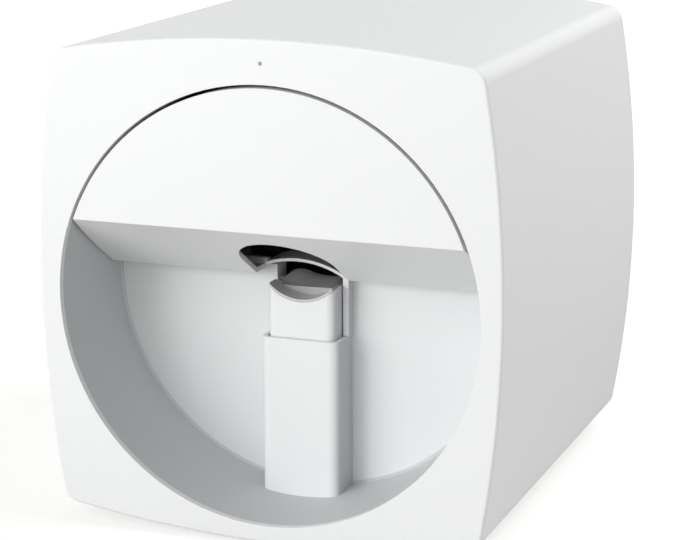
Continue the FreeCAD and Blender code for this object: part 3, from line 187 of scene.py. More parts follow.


# %% [markdown]
# The housing is satin. The drum and its back wall are matt, so that no lamp is mirrored beside
# the nail. Black parts have a deep grain that hides scratches, and the lever and the button are
# smoother, because fingers touch them. Silicone glows a little along its edges, and the rubber of
# the feet is the dullest of all.
#
# The drum, its back wall and the flanks of the finger rest are drawn in greyer whites than the
# housing, and the stop of the pad in darker greys than its lining. Those greys are painted shade,
# not a known difference of the plastic or of the silicone.

# %% Plastics, silicone and rubber of this machine
WHITE_ABS = moulded("satin_white_abs", "#EEEFF0", "#EBECED", 0.42, 0.4, 0.004)
# Painted shade: the drum's lining and its back wall are greyer whites than the housing.
LINING_ABS_PAINTED_SHADE = moulded("matt_white_abs_lining_painted_shade", "#CDCED0", "#C9CACC", 0.55, 0.6, 0.006)
BACK_ABS_PAINTED_SHADE = moulded("matt_white_abs_back_painted_shade", "#E3E4E5", "#E0E1E2", 0.55, 0.6, 0.006)
BLACK_ABS = moulded("grained_black_abs", "#232427", "#1E1F21", 0.5, 0.5, 0.012)
BLUE_ABS = moulded("satin_blue_abs", "#2F5CA8", "#2B559E", 0.36, 0.5, 0.006)
GREY_ABS = moulded("satin_grey_abs", "#8B8C90", "#858689", 0.45, 0.5, 0.006)
# Painted shade: the finger rest's flanks are drawn greyer than its front.
REST_ABS_SHADED_FLANKS = moulded("satin_white_abs_rest_painted_shade_flanks", "#E9EAEB", "#E6E7E8", 0.42, 0.4, 0.004,
                   sides="#C2C3C5")
SILICONE = moulded("grey_silicone", "#CFCFD1", "#C9C9CB", 0.62, 0.3, 0.01, sheen=0.1)
# Painted shade: the stop's front and its top are darker greys of the lining's silicone.
SHADED_FRONT_SILICONE = moulded("grey_silicone_painted_shade_front", "#B6B6B8", "#B0B0B2", 0.65, 0.3, 0.01, sheen=0.05)
SHADED_TOP_SILICONE = moulded("grey_silicone_painted_shade_top", "#848486", "#7E7E80", 0.7, 0.3, 0.01, sheen=0.05)
RUBBER = moulded("matt_black_rubber", "#222223", "#1B1B1C", 0.72, 0.4, 0.02, sheen=0.1)

wear(["main_shell", "rear_panel", "visor_cover"], WHITE_ABS)
wear(["finger_sleeve", "finger_post", "finger_hood", "lift_carrier"], REST_ABS_SHADED_FLANKS)
wear(["recess_liner"], LINING_ABS_PAINTED_SHADE)
wear(["recess_back_wall"], BACK_ABS_PAINTED_SHADE)
wear(["y_nut", "x_carriage", "ink_cartridge", "nail_camera", "service_tray", "dc_inlet",
      "button_housing"], BLACK_ABS)
wear(["cartridge_latch"], BLUE_ABS)
wear(["power_button"], GREY_ABS)
wear(["finger_pad"], SILICONE)
wear(["cap_pad", "rubber_feet"], RUBBER)
print("moulded finishes", len(bpy.data.materials))

# %% [markdown]
# ## Metals
#
# Most of the metal here was turned, ground or drawn, so its tool marks are rings round an axis:
# a wave pattern along that axis, bent a little by noise. Real marks are some hundredths of a
# millimetre apart, too fine to show, so they are drawn 1 to 2.5 mm apart. The pattern is used as
# bump and as a small change of roughness, and the metal keeps its usual colour.

# %% Turned and ground metal
WAVE = math.pi / 10   # a wave pattern of scale 1 repeats after this many metres
METAL_SPREAD = 0.05   # how far a metal's roughness strays to either side


def turned(name, code, deep, roughness, axis, pitch, depth):
    """Metal with rings round the X, Y or Z axis; pitch and depth are in millimetres."""
    material, tree, place = new_material(name)
    rings = add_node(tree, "ShaderNodeTexWave",
                     {"Vector": place, "Scale": WAVE / mm(pitch), "Distortion": 1.5,
                      "Detail": 2.0, "Detail Scale": 3.0},
                     wave_type="BANDS", bands_direction=axis)
    rough = add_node(tree, "ShaderNodeMapRange",
                     {"Value": rings.outputs["Fac"], "To Min": roughness - METAL_SPREAD,
                      "To Max": roughness + METAL_SPREAD})
    bump = add_node(tree, "ShaderNodeBump",
                    {"Height": rings.outputs["Fac"], "Distance": mm(depth), "Strength": 1.0})
    finish_material(tree, {"Base Color": between(tree, rings.outputs["Fac"], deep, code),
                           "Metallic": 1.0, "Roughness": rough.outputs["Result"],
                           "Normal": bump.outputs["Normal"]})
    return material


# %% [markdown]
# Ground rods are smooth and bright, and plated magnets are the smoothest and a little warm. Brass
# bushes are yellow and duller. Zinc on the screws is bluish and uneven, milled aluminium has
# wider marks, the wire of the springs is darker, and the motors' cans are dark and dull.

# %% Metals of this machine
GROUND_Y = turned("ground_steel_along_y", "#C9CBCD", "#BFC1C3", 0.22, "Y", 1.5, 0.001)
GROUND_X = turned("ground_steel_along_x", "#C9CBCD", "#BFC1C3", 0.22, "X", 1.5, 0.001)
SPRING_WIRE = turned("drawn_spring_wire", "#A3A4A8", "#97989C", 0.30, "Z", 1.0, 0.001)
BRASS = turned("turned_brass", "#D8B35F", "#CBA450", 0.26, "Y", 1.0, 0.001)
ALUMINIUM = turned("milled_aluminium", "#C6C9CC", "#C1C4C7", 0.38, "X", 2.5, 0.0008)
ZINC_STEEL = turned("zinc_plated_steel", "#BFC4C8", "#B2B7BC", 0.33, "Z", 1.0, 0.001)
NICKEL = turned("nickel_plate", "#CFC9BD", "#C6C0B4", 0.18, "Z", 1.0, 0.001)
MOTOR_CAN = turned("motor_can_steel", "#6F7276", "#6A6D71", 0.38, "Y", 1.5, 0.0008)

wear(["y_rods", "y_lead_screw", "latch_pin"], GROUND_Y)
wear(["x_rods", "idler_axle"], GROUND_X)
wear(["post_spring", "button_spring"], SPRING_WIRE)
wear(["board_spacers", "y_bushes", "x_bushes"], BRASS)
wear(["gantry_frame", "x_drive_pulley", "x_idler_pulley"], ALUMINIUM)
wear(["rear_screws", "chassis_screws", "usb_port"], ZINC_STEEL)
wear(["cover_magnets"], NICKEL)
wear(["y_motor", "x_motor"], MOTOR_CAN)
print("with metals", len(bpy.data.materials))

# %% [markdown]
# The chassis is folded from hot-dip zinc coated sheet. Its zinc freezes in flat crystals, the
# spangle, each turned its own way, so each one is a little lighter or darker, and smoother or
# duller, than the next. A cell pattern whose cells are about 7 mm wide gives that.

# %% Zinc coated sheet
SPANGLE = 7  # width of a crystal, in millimetres
ZINC_SMOOTH, ZINC_DULL = 0.34, 0.5
ZINC_SHEET, tree, place = new_material("spangled_zinc_sheet")
cells = add_node(tree, "ShaderNodeTexVoronoi", {"Vector": place, "Scale": 1 / mm(SPANGLE)})
tone = add_node(tree, "ShaderNodeSeparateColor", {"Color": cells.outputs["Color"]})
rough = add_node(tree, "ShaderNodeMapRange",
                 {"Value": tone.outputs[1], "To Min": ZINC_SMOOTH, "To Max": ZINC_DULL})
finish_material(tree, {"Base Color": between(tree, tone.outputs[0], "#9FA2A5", "#B9BCBF"),
                       "Metallic": 1.0, "Roughness": rough.outputs["Result"]})
wear(["chassis_base", "front_bulkhead", "rear_bulkhead", "magnet_keepers"], ZINC_SHEET)

# %% [markdown]
# ## Belt, board, lens and light
#
# Four more finishes are used once each. The belt's teeth are too small for geometry that nobody
# sees from outside, so bands of bump 2 mm apart stand for them, with painted shade in the grooves.
# The board's green lacquer lies over copper tracks, which show as paler lines. The camera's lens
# is dark glass with a clear hard coat, with a painted reflection that turns it lighter and purple
# at a glancing angle. The light parts are milky plastic that lets some of the light through.

# %% Toothed belt
TOOTH, TOOTH_DEPTH = 2.0, 0.4  # in millimetres
BELT_RUBBER, tree, place = new_material("toothed_belt_rubber")
teeth = add_node(tree, "ShaderNodeTexWave", {"Vector": place, "Scale": WAVE / mm(TOOTH)},
                 wave_type="BANDS", bands_direction="X")
bump = add_node(tree, "ShaderNodeBump",
                {"Height": teeth.outputs["Fac"], "Distance": mm(TOOTH_DEPTH), "Strength": 1.0})
# Painted shade: the grooves between the teeth are drawn darker than the teeth.
finish_material(tree, {"Base Color": between(tree, teeth.outputs["Fac"], "#1A1A1B", "#2A2A2B"),
                       "Roughness": 0.7, "Normal": bump.outputs["Normal"]})
wear(["x_belt"], BELT_RUBBER)

# %% Lacquered board
TRACK, AREA = 1.6, 14  # pitch of the tracks and width of an area of them, in millimetres
TRACK_EDGE = 0.62      # a track shows where the wave is higher than this
LACQUER, tree, place = new_material("green_board_lacquer")
areas = add_node(tree, "ShaderNodeTexVoronoi", {"Vector": place, "Scale": 1 / mm(AREA)},
                 distance="CHEBYCHEV")
side = add_node(tree, "ShaderNodeSeparateColor", {"Color": areas.outputs["Color"]})
turn = add_node(tree, "ShaderNodeMath", {0: side.outputs[0], 1: 0.5}, operation="GREATER_THAN")
level, upright = (
    add_node(tree, "ShaderNodeTexWave", {"Vector": place, "Scale": WAVE / mm(TRACK)},
             wave_type="BANDS", bands_direction=axis) for axis in "ZX")
lines = add_node(tree, "ShaderNodeMix", {0: turn.outputs[0], 2: level.outputs["Fac"],
                                         3: upright.outputs["Fac"]})
copper = add_node(tree, "ShaderNodeMath", {0: lines.outputs[0], 1: TRACK_EDGE},
                  operation="GREATER_THAN")
finish_material(tree, {"Base Color": between(tree, copper.outputs[0], "#14532F", "#22693E"),
                       "Roughness": 0.28, "IOR": 1.5, "Coat Weight": 0.3})
wear(["main_board"], LACQUER)

# %% Lens and light parts
LENS_GLASS, tree, _ = new_material("coated_camera_glass")
rim = add_node(tree, "ShaderNodeLayerWeight", {"Blend": 0.4})
# Painted reflection: the glass turns lighter and purple where it is seen at a glancing angle.
finish_material(tree, {"Base Color": between(tree, rim.outputs["Facing"], "#0B0C14", "#2A1F3F"),
                       "Roughness": 0.04, "IOR": 1.52, "Coat Weight": 1.0})
wear(["camera_lens"], LENS_GLASS)

CLOUD = 4  # width of the cloudy patches, in millimetres
MILKY, tree, place = new_material("milky_light_plastic")
cloud = add_node(tree, "ShaderNodeTexNoise", {"Vector": place, "Scale": 1 / mm(CLOUD)})
finish_material(tree, {"Base Color": between(tree, cloud.outputs["Fac"], "#A3A694", "#ADB09E"),
                       "Roughness": 0.3, "IOR": 1.49, "Transmission Weight": 0.25})
wear(["light_bar", "status_light_pipe"], MILKY)
print("materials", len(bpy.data.materials))

# %% [markdown]
# ## Floor, world and lamps
#
# A plain studio: a pale floor, a soft even sky, two soft lamps at the front left, one high on
# the right that lights the side, and a weak one behind. A floor and a sky that are white all the
# time would light the machine from below and wash out its shading. So both turn white only where
# the camera, a reflection or glass looks at them, and give their plain light to the machine. Far
# from the machine the lamps fade, so there the floor is lifted more.

# %% Stage
SKY_LIGHT = 0.25                             # strength of the sky as a lamp; 1 is white
FLOOR_SIZE = 12.0
FLOOR_LIFT_NEAR, FLOOR_LIFT_FAR = 0.6, 0.85  # brightness added where the floor is looked at
LIFT_START, LIFT_END = 0.3, 1.8              # distances between which the lift grows


def seen_directly(tree):
    """Socket that is 1 where the camera, a mirror or glass looks, and 0 for light in between."""
    rays = add_node(tree, "ShaderNodeLightPath").outputs
    either = add_node(tree, "ShaderNodeMath", {0: rays["Is Camera Ray"], 1: rays["Is Glossy Ray"]},
                      operation="MAXIMUM")
    return add_node(tree, "ShaderNodeMath",
                    {0: either.outputs[0], 1: rays["Is Transmission Ray"]},
                    operation="MAXIMUM").outputs[0]


world = bpy.data.worlds.new("studio_sky")
bpy.context.scene.world = world
world.use_nodes = True
tree = world.node_tree
tree.nodes.clear()
strength = add_node(tree, "ShaderNodeMapRange",
                    {"Value": seen_directly(tree), "To Min": SKY_LIGHT, "To Max": 1.0})
light = add_node(tree, "ShaderNodeBackground", {"Strength": strength.outputs["Result"],
                                                "Color": (1.0, 1.0, 1.0, 1.0)})
add_node(tree, "ShaderNodeOutputWorld", {"Surface": light.outputs[0]})

bpy.ops.object.select_all(action="DESELECT")
bpy.ops.mesh.primitive_plane_add(size=FLOOR_SIZE, location=(0, 0, 0))
floor = bpy.context.object
floor.name = "floor"
paper, tree, place = new_material("floor_paper")
matt = add_node(tree, "ShaderNodeBsdfDiffuse", {"Color": linear("#CFCECB")})
distance = add_node(tree, "ShaderNodeVectorMath", {0: place}, operation="LENGTH").outputs["Value"]
fade = add_node(tree, "ShaderNodeMapRange",
                {"Value": distance, "From Min": LIFT_START, "From Max": LIFT_END,
                 "To Min": FLOOR_LIFT_NEAR, "To Max": FLOOR_LIFT_FAR})
lift = add_node(tree, "ShaderNodeMath", {0: seen_directly(tree), 1: fade.outputs["Result"]},
                operation="MULTIPLY")
glow = add_node(tree, "ShaderNodeEmission", {"Strength": lift.outputs[0],
                                             "Color": (1.0, 1.0, 1.0, 1.0)})
both = add_node(tree, "ShaderNodeAddShader", {0: matt.outputs[0], 1: glow.outputs[0]})
add_node(tree, "ShaderNodeOutputMaterial", {"Surface": both.outputs[0]})
wear([floor], paper)
print("floor", FLOOR_SIZE, "m wide")

# %% Lamps
MACHINE_MIDDLE = Vector((0, 0, 0.1))


def softbox(name, place, size, watts):
    """Square lamp that faces the machine."""
    data = bpy.data.lights.new(name, "AREA")
    data.shape = "SQUARE"
    data.size = size
    data.energy = watts
    lamp = bpy.data.objects.new(name, data)
    bpy.context.scene.collection.objects.link(lamp)
    lamp.location = place
    lamp.visible_camera = False
    aim = MACHINE_MIDDLE - lamp.location
    lamp.rotation_euler = aim.to_track_quat("-Z", "Y").to_euler()


softbox("left_front_softbox", (-1.257, -1.795, 0.292), 1.5, 32.0)
softbox("front_softbox", (-0.346, -1.964, 1.03), 1.5, 16.5)
softbox("right_softbox", (1.366, 0.366, 1.785), 1.2, 20.0)
softbox("back_softbox", (0.5, 1.9, 0.9), 1.5, 8.0)
print("lamps", len(bpy.data.lights))

# %% [markdown]
# ## Camera
#
# A long lens, a metre away, keeps the edges of a small machine nearly parallel. It stands to the
# right of the front and a little above, so that the front, the top and one side show. The
# Standard view shows a colour about as it is written.

# %% Camera
YAW, PITCH, ROLL = 0.3654, 0.2368, -0.0037  # in radians

camera_data = bpy.data.cameras.new("camera")
camera_data.sensor_width = 36.0
camera_data.lens = 118.07
camera = bpy.data.objects.new("camera", camera_data)
bpy.context.scene.collection.objects.link(camera)
camera.location = mm(336.9, -900.3, 324.8)
camera.rotation_euler = (Matrix.Rotation(YAW, 4, "Z")
                         @ Matrix.Rotation(math.pi / 2 - PITCH, 4, "X")
                         @ Matrix.Rotation(ROLL, 4, "Z")).to_euler()
bpy.context.scene.camera = camera
bpy.context.scene.view_settings.view_transform = "Standard"
print("camera", round(camera.location.length, 2), "m from the machine's foot")

# %% [markdown]
# ## Tools for modelling by hand
#
# Each small part below starts as a primitive and is shaped in edit mode, as by hand. A few
# helpers keep that short: begin adds a primitive with nothing else selected, pick selects faces
# or edges by where they are and where they point, and complete cleans the finished mesh, gives
# it its material and makes it ride on the body that carries it. What repeats is modelled once,
# and copies places it again, each time with its own mesh.

# %% Start a piece and pick its faces or edges
def begin(kind, **settings):
    """New primitive with its place kept in its mesh and nothing else selected."""
    if bpy.context.mode != "OBJECT":
        bpy.ops.object.mode_set(mode="OBJECT")
    bpy.ops.object.select_all(action="DESELECT")
    getattr(bpy.ops.mesh, f"primitive_{kind}_add")(**settings)
    bpy.ops.object.transform_apply(location=True, rotation=True, scale=True)
    return bpy.context.object


def pick(piece, test, kind="FACE"):
    """In edit mode, selects what passes a test of its middle (mm) and its normal or direction."""
    if piece.mode != "EDIT":
        bpy.ops.object.mode_set(mode="EDIT")
    bpy.ops.mesh.select_mode(type=kind)
    bpy.ops.mesh.select_all(action="DESELECT")
    shape = bmesh.from_edit_mesh(piece.data)
    for part in shape.faces if kind == "FACE" else shape.edges:
        ends = [vertex.co for vertex in part.verts]
        way = part.normal if kind == "FACE" else (ends[1] - ends[0]).normalized()
        part.select_set(bool(test(sum(ends, Vector()) / len(ends) / MM, way)))
    shape.select_flush_mode()
    bmesh.update_edit_mesh(piece.data)


# %% Shape and join
def extrude(*shift):
    """Pulls the selection out by a distance in millimetres."""
    bpy.ops.mesh.extrude_region_move(TRANSFORM_OT_translate={"value": mm(*shift)})


def apply_modifier(piece, kind, **settings):
    """Adds a modifier with these settings and applies it."""
    if bpy.context.mode != "OBJECT":
        bpy.ops.object.mode_set(mode="OBJECT")
    bpy.context.view_layer.objects.active = piece
    step = piece.modifiers.new(kind.lower(), kind)
    for name, value in settings.items():
        setattr(step, name, value)
    bpy.ops.object.modifier_apply(modifier=step.name)


def join(piece, *others):
    """Joins other objects into the piece."""
    if bpy.context.mode != "OBJECT":
        bpy.ops.object.mode_set(mode="OBJECT")
    bpy.ops.object.select_all(action="DESELECT")
    for item in (piece, *others):
        item.select_set(True)
    bpy.context.view_layer.objects.active = piece
    bpy.ops.object.join()


# %% Finish and copy a piece
SAME_PLACE = 0.002  # vertices closer than this, in millimetres, are one


def register(piece, name, body):
    """Names a piece, and says what it rides on."""
    piece.name = piece.data.name = name
    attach(piece, body)


def complete(piece, name, body, material, angle=35):
    """Cleans, smooths, dresses and registers a finished piece."""
    if bpy.context.mode != "OBJECT":
        bpy.ops.object.mode_set(mode="OBJECT")
    bpy.context.view_layer.objects.active = piece
    bpy.ops.object.mode_set(mode="EDIT")
    bpy.ops.mesh.select_mode(type="VERT")
    bpy.ops.mesh.select_all(action="SELECT")
    bpy.ops.mesh.remove_doubles(threshold=mm(SAME_PLACE))
    bpy.ops.mesh.normals_make_consistent(inside=False)
    bpy.ops.object.mode_set(mode="OBJECT")
    bpy.ops.object.select_all(action="DESELECT")
    piece.select_set(True)
    bpy.ops.object.shade_smooth_by_angle(angle=math.radians(angle))
    if material:
        wear([piece], material)
    register(piece, name, body)
    print(name, "faces", len(piece.data.polygons))


def copies(piece, name, body, shifts):
    """More of the same piece, each with its own mesh, moved by shifts in millimetres."""
    for number, shift in enumerate(shifts, 2):
        twin = bpy.data.objects.new(name, piece.data.copy())
        bpy.context.scene.collection.objects.link(twin)
        twin.data.transform(Matrix.Translation(mm(*shift)))
        register(twin, f"{name}_{number}", body)


# %% [markdown]
# ## Fingertip pad
#
# The finger lies in a trough lined with soft grey silicone, and its tip rests against a raised
# stop at the far end. The stop's front is a darker grey than the lining and its top darker still,
# as painted shade. The lining is a flat grid that is bent round the trough and given its
# thickness. The stop is a block whose vertices are moved onto a low mound with a small rise on the
# left. Both are rounded along their edges, because silicone never comes out of a mould sharp.

# %% Lining of the trough
TROUGH_RADIUS, TROUGH_AXIS = 20.33, 114.4
LINING_FRONT, LINING_BACK, STOP_FRONT, STOP_BACK = -66.0, -51.0, -56.0, -45.5
LINING_HALF_ANGLE = 0.785                # in radians
LINING_WALL, LINING_ROUND = 0.95, 0.15
CORNER_CUT = 6.5                         # how far the lining's back corners draw in

lining = begin("grid", x_subdivisions=36, y_subdivisions=14, size=2.0)
for vertex in lining.data.vertices:
    turn = vertex.co.x * LINING_HALF_ANGLE
    back = LINING_BACK - CORNER_CUT * vertex.co.x ** 4
    along = LINING_FRONT + (vertex.co.y + 1) / 2 * (back - LINING_FRONT)
    vertex.co = mm(TROUGH_RADIUS * math.sin(turn), along,
                   TROUGH_AXIS - TROUGH_RADIUS * math.cos(turn))
apply_modifier(lining, "SOLIDIFY", thickness=mm(LINING_WALL), offset=1.0)
apply_modifier(lining, "BEVEL", width=mm(LINING_ROUND), segments=3, limit_method="ANGLE")
lining.data.materials.append(SILICONE)

# %% Stop for the fingertip
STOP_HALF, STOP_ROUND = 14.2, 0.35             # half its width, and its edges
STOP_SWEEP = 2.0                               # how far its sides come forward
STOP_LEAST = 0.2                               # its height where it is thinnest
LIP_LOW, LIP_X = 98.2, -4.0                    # lowest place of the front edge
LIP_CURVE_LEFT, LIP_CURVE_RIGHT = 0.0105, 0.003
CROWN, RISE, RISE_X = 101.1, 2.1, -6.5         # height at the back, and the rise on it
RISE_LEFT, RISE_RIGHT = 7.5, 5.5               # how far the rise reaches to either side
SHOULDER_X, SHOULDER_FALL = 10.0, 0.18         # where the back starts to fall, and how fast
SWELL = 1.25                                   # how late the top swells from front to back
TOP_FACING = 0.35                              # faces that look up more than this take the darker grey, as painted shade


def stop_front(across):
    """Place of the stop's front edge, which comes forward a little on both sides."""
    return STOP_FRONT - STOP_SWEEP * (across / STOP_HALF) ** 2


def stop_top(across, depth):
    """Height of the stop's top; depth goes from 0 at its front edge to 1 at its back."""
    curve = LIP_CURVE_LEFT if across < LIP_X else LIP_CURVE_RIGHT
    reach = RISE_LEFT if across < RISE_X else RISE_RIGHT
    front = LIP_LOW + curve * (across - LIP_X) ** 2
    rise = RISE * math.exp(-((across - RISE_X) / reach) ** 2)
    back = CROWN + rise - SHOULDER_FALL * max(0.0, abs(across) - SHOULDER_X) ** 2
    return front + (back - front) * math.sin(math.pi / 2 * depth) ** SWELL


stop = begin("cube", size=2.0)
bpy.ops.object.mode_set(mode="EDIT")
bpy.ops.mesh.subdivide(number_cuts=23)
bpy.ops.object.mode_set(mode="OBJECT")
for vertex in stop.data.vertices:
    across = STOP_HALF * vertex.co.x
    depth, level = (vertex.co.y + 1) / 2, (vertex.co.z + 1) / 2
    low = TROUGH_AXIS - math.sqrt(TROUGH_RADIUS ** 2 - across ** 2)
    high = max(low + STOP_LEAST, stop_top(across, depth))
    front = stop_front(across)
    vertex.co = mm(across, front + depth * (STOP_BACK - front), low + level * (high - low))
apply_modifier(stop, "BEVEL", width=mm(STOP_ROUND), segments=3, limit_method="ANGLE",
               angle_limit=math.radians(50))
stop.data.materials.append(SHADED_FRONT_SILICONE)
stop.data.materials.append(SHADED_TOP_SILICONE)
# Painted shade: faces of the stop that look up take the darkest grey.
for face in stop.data.polygons:
    if face.normal.z > TOP_FACING:
        face.material_index = 1
join(lining, stop)
complete(lining, "fingertip_pad", "post", None, angle=50)
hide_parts("finger_pad")

# %% [markdown]
# ## Rubber feet
#
# Each foot is a pressed rubber disc with a rounded rim and a hollow in its underside, so that it
# grips like a weak suction cup. A cylinder's lower face is inset and pushed in, and its rim is
# bevelled. One foot is made and copied three times.

# %% Feet
FOOT_X, FOOT_FRONT, FOOT_BACK = 60.0, -62.0, 84.0
FOOT_RADIUS, FOOT_HEIGHT, FOOT_ROUND = 8.0, 3.0, 0.8
RIM_WIDTH, HOLLOW, HOLLOW_STEP = 2.4, 1.1, 0.5

foot = begin("cylinder", vertices=64, radius=mm(FOOT_RADIUS), depth=mm(FOOT_HEIGHT),
             location=mm(-FOOT_X, FOOT_FRONT, FOOT_HEIGHT / 2))
pick(foot, lambda middle, way: way.z < -0.9)
bpy.ops.mesh.inset(thickness=mm(RIM_WIDTH))
extrude(0, 0, HOLLOW)
bpy.ops.mesh.inset(thickness=mm(HOLLOW_STEP))
pick(foot, lambda middle, way: abs(way.z) < 0.1 and middle.z < 0.01
     and math.hypot(middle.x + FOOT_X, middle.y - FOOT_FRONT) > FOOT_RADIUS - 0.5, "EDGE")
bpy.ops.mesh.bevel(offset=mm(FOOT_ROUND), segments=4)
complete(foot, "foot_1", "housing", RUBBER)
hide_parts("rubber_feet")
copies(foot, "foot", "housing",
       [(2 * FOOT_X, 0, 0), (0, FOOT_BACK - FOOT_FRONT, 0),
        (2 * FOOT_X, FOOT_BACK - FOOT_FRONT, 0)])

# %% [markdown]
# ## Screws of the rear panel
#
# The panel is held by four pan head screws with a cross recess. The head is a cylinder with a
# generous bevel, and the cross is cut by two thin blocks. The shank grows out of the head's
# underside: the face is inset to the shank's radius and pulled out.

# %% Rear screws
SCREW_X, SCREW_LOW, SCREW_HIGH = 85.5, 15.9, 194.9
HEAD_TOP, HEAD_HEIGHT, HEAD_RADIUS, HEAD_ROUND = 105.7, 1.8, 2.8, 0.9
SHANK_RADIUS, SHANK_LENGTH = 1.45, 8.4
SLOT_WIDTH, SLOT_LENGTH, SLOT_BLOCK = 0.7, 3.2, 2.2  # half of the block cuts, half stands out

head = begin("cylinder", vertices=48, radius=mm(HEAD_RADIUS), depth=mm(HEAD_HEIGHT),
             rotation=(math.pi / 2, 0, 0),
             location=mm(-SCREW_X, HEAD_TOP - HEAD_HEIGHT / 2, SCREW_LOW))
pick(head, lambda middle, way: way.y < -0.9)
bpy.ops.mesh.inset(thickness=mm(HEAD_RADIUS - SHANK_RADIUS))
extrude(0, -SHANK_LENGTH, 0)
pick(head, lambda middle, way: abs(way.y) < 0.1 and middle.y > HEAD_TOP - 0.01, "EDGE")
bpy.ops.mesh.bevel(offset=mm(HEAD_ROUND), segments=5)
for width, height in ((SLOT_WIDTH, SLOT_LENGTH), (SLOT_LENGTH, SLOT_WIDTH)):
    bit = begin("cube", size=1.0, scale=mm(width, SLOT_BLOCK, height),
                location=mm(-SCREW_X, HEAD_TOP, SCREW_LOW))
    apply_modifier(head, "BOOLEAN", operation="DIFFERENCE", object=bit, solver="EXACT")
    bpy.data.objects.remove(bit)
complete(head, "rear_screw_1", "housing", ZINC_STEEL)
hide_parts("rear_screws")
copies(head, "rear_screw", "housing",
       [(2 * SCREW_X, 0, 0), (0, 0, SCREW_HIGH - SCREW_LOW),
        (2 * SCREW_X, 0, SCREW_HIGH - SCREW_LOW)])

# %% [markdown]
# ## Power mark
#
# The button carries the usual mark of an open ring and a bar, in pale ink that stands up a
# little. The ring is a torus whose faces are deleted at the top and whose two ends are closed,
# and the bar is a small bevelled rod. Both are flattened together onto the button's face.

# %% Ring and bar on the button
BUTTON_X, BUTTON_Y, BUTTON_Z = 60.0, 105.8, 40.0
RING_RADIUS, STROKE, BAR_LENGTH, BAR_UP = 2.6, 0.24, 2.6, 2.0
BAR_ROUND, GAP_SLOPE, FLATTEN, SPECK = 0.1, 1.2, 0.35, 0.5

INK, tree, place = new_material("pale_pad_printing_ink")
speck = add_node(tree, "ShaderNodeTexNoise", {"Vector": place, "Scale": 1 / mm(SPECK)})
finish_material(tree, {"Base Color": between(tree, speck.outputs["Fac"], "#E2E2E0", "#EDEDEB"),
                       "Roughness": 0.5, "IOR": 1.5})
ring = begin("torus", major_segments=64, minor_segments=12, major_radius=mm(RING_RADIUS),
             minor_radius=mm(STROKE), rotation=(math.pi / 2, 0, 0),
             location=mm(BUTTON_X, BUTTON_Y, BUTTON_Z))
pick(ring, lambda middle, way: middle.z - BUTTON_Z > GAP_SLOPE * abs(middle.x - BUTTON_X))
bpy.ops.mesh.delete(type="FACE")
bpy.ops.mesh.select_all(action="SELECT")
bpy.ops.mesh.fill_holes(sides=0)
bar = begin("cylinder", vertices=16, radius=mm(STROKE), depth=mm(BAR_LENGTH),
            location=mm(BUTTON_X, BUTTON_Y, BUTTON_Z + BAR_UP))
pick(bar, lambda middle, way: abs(way.z) < 0.1, "EDGE")
bpy.ops.mesh.bevel(offset=mm(BAR_ROUND), segments=2)
bpy.ops.object.mode_set(mode="OBJECT")
join(ring, bar)
for vertex in ring.data.vertices:
    vertex.co.y = mm(BUTTON_Y) + (vertex.co.y - mm(BUTTON_Y)) * FLATTEN
complete(ring, "power_mark", "button", INK)

# %% [markdown]
# ## Lead screw
#
# The screw that drives the gantry has four threads of 2 mm, so it moves the nut 8 mm a turn. One
# 8 mm stretch of its outline, with four crests and four roots, is swept round the axis by the
# Screw modifier, which moves it 8 mm along in each turn, and the ends are cut square.

# %% Thread
SCREW_LEAD, SCREW_AXIS_Z, CREST, ROOT = 8.0, 109.5, 2.98, 2.45
SCREW_START, SCREW_END = -3.9, 71.1
OUTLINE_STEPS, THREAD_STEPS = 16, 4  # steps of the outline in one lead, and in one thread
TURNS, TURN_STEPS = 11, 24

thread = begin("grid", x_subdivisions=1, y_subdivisions=OUTLINE_STEPS, size=mm(SCREW_LEAD))
pick(thread, lambda middle, way: middle.x > 0.01, "EDGE")
bpy.ops.mesh.delete(type="VERT")
bpy.ops.object.mode_set(mode="OBJECT")
for vertex in thread.data.vertices:
    step = round(vertex.co.y / mm(SCREW_LEAD) * OUTLINE_STEPS) % THREAD_STEPS
    vertex.co.x = mm(CREST if step < THREAD_STEPS / 2 else ROOT)
apply_modifier(thread, "SCREW", axis="Y", angle=2 * math.pi, screw_offset=mm(SCREW_LEAD),
               iterations=TURNS, steps=TURN_STEPS, render_steps=TURN_STEPS,
               use_merge_vertices=True, merge_threshold=mm(0.01))
thread.data.transform(Matrix.Translation(mm(0, SCREW_START - SCREW_LEAD, SCREW_AXIS_Z)))
bpy.ops.object.mode_set(mode="EDIT")
for y, side in ((SCREW_START, -1), (SCREW_END, 1)):
    bpy.ops.mesh.select_all(action="SELECT")
    bpy.ops.mesh.bisect(plane_co=mm(0, y, SCREW_AXIS_Z), plane_no=(0, side, 0), use_fill=True,
                        clear_outer=True)
complete(thread, "lead_screw_thread", "lead_screw", GROUND_Y)
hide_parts("y_lead_screw")

# %% [markdown]
# ## Ink cartridge
#
# The cartridge is told from a plain block by two things: the copper-gold contacts on a thin film
# on its front, which the carriage's pins touch, and the steel plate with two rows of nozzles
# underneath. The film's face is divided into a grid and each square is inset and raised a little.

# %% Contacts
GOLD = turned("gold_plated_contact", "#D9B45B", "#CFA94F", 0.22, "Z", 1.0, 0.0005)
FILM = moulded("amber_polyimide_film", "#8A4B1C", "#7E4418", 0.3, 1.0, 0.002)
CONTACT_MIDDLE, CONTACT_SIZE = (40.0, -46.05, 134.0), (20.0, 0.16, 24.0)
FILM_EDGE, CONTACT_CUTS, CONTACT_GAP, CONTACT_RISE = 1.2, 5, 0.5, 0.06

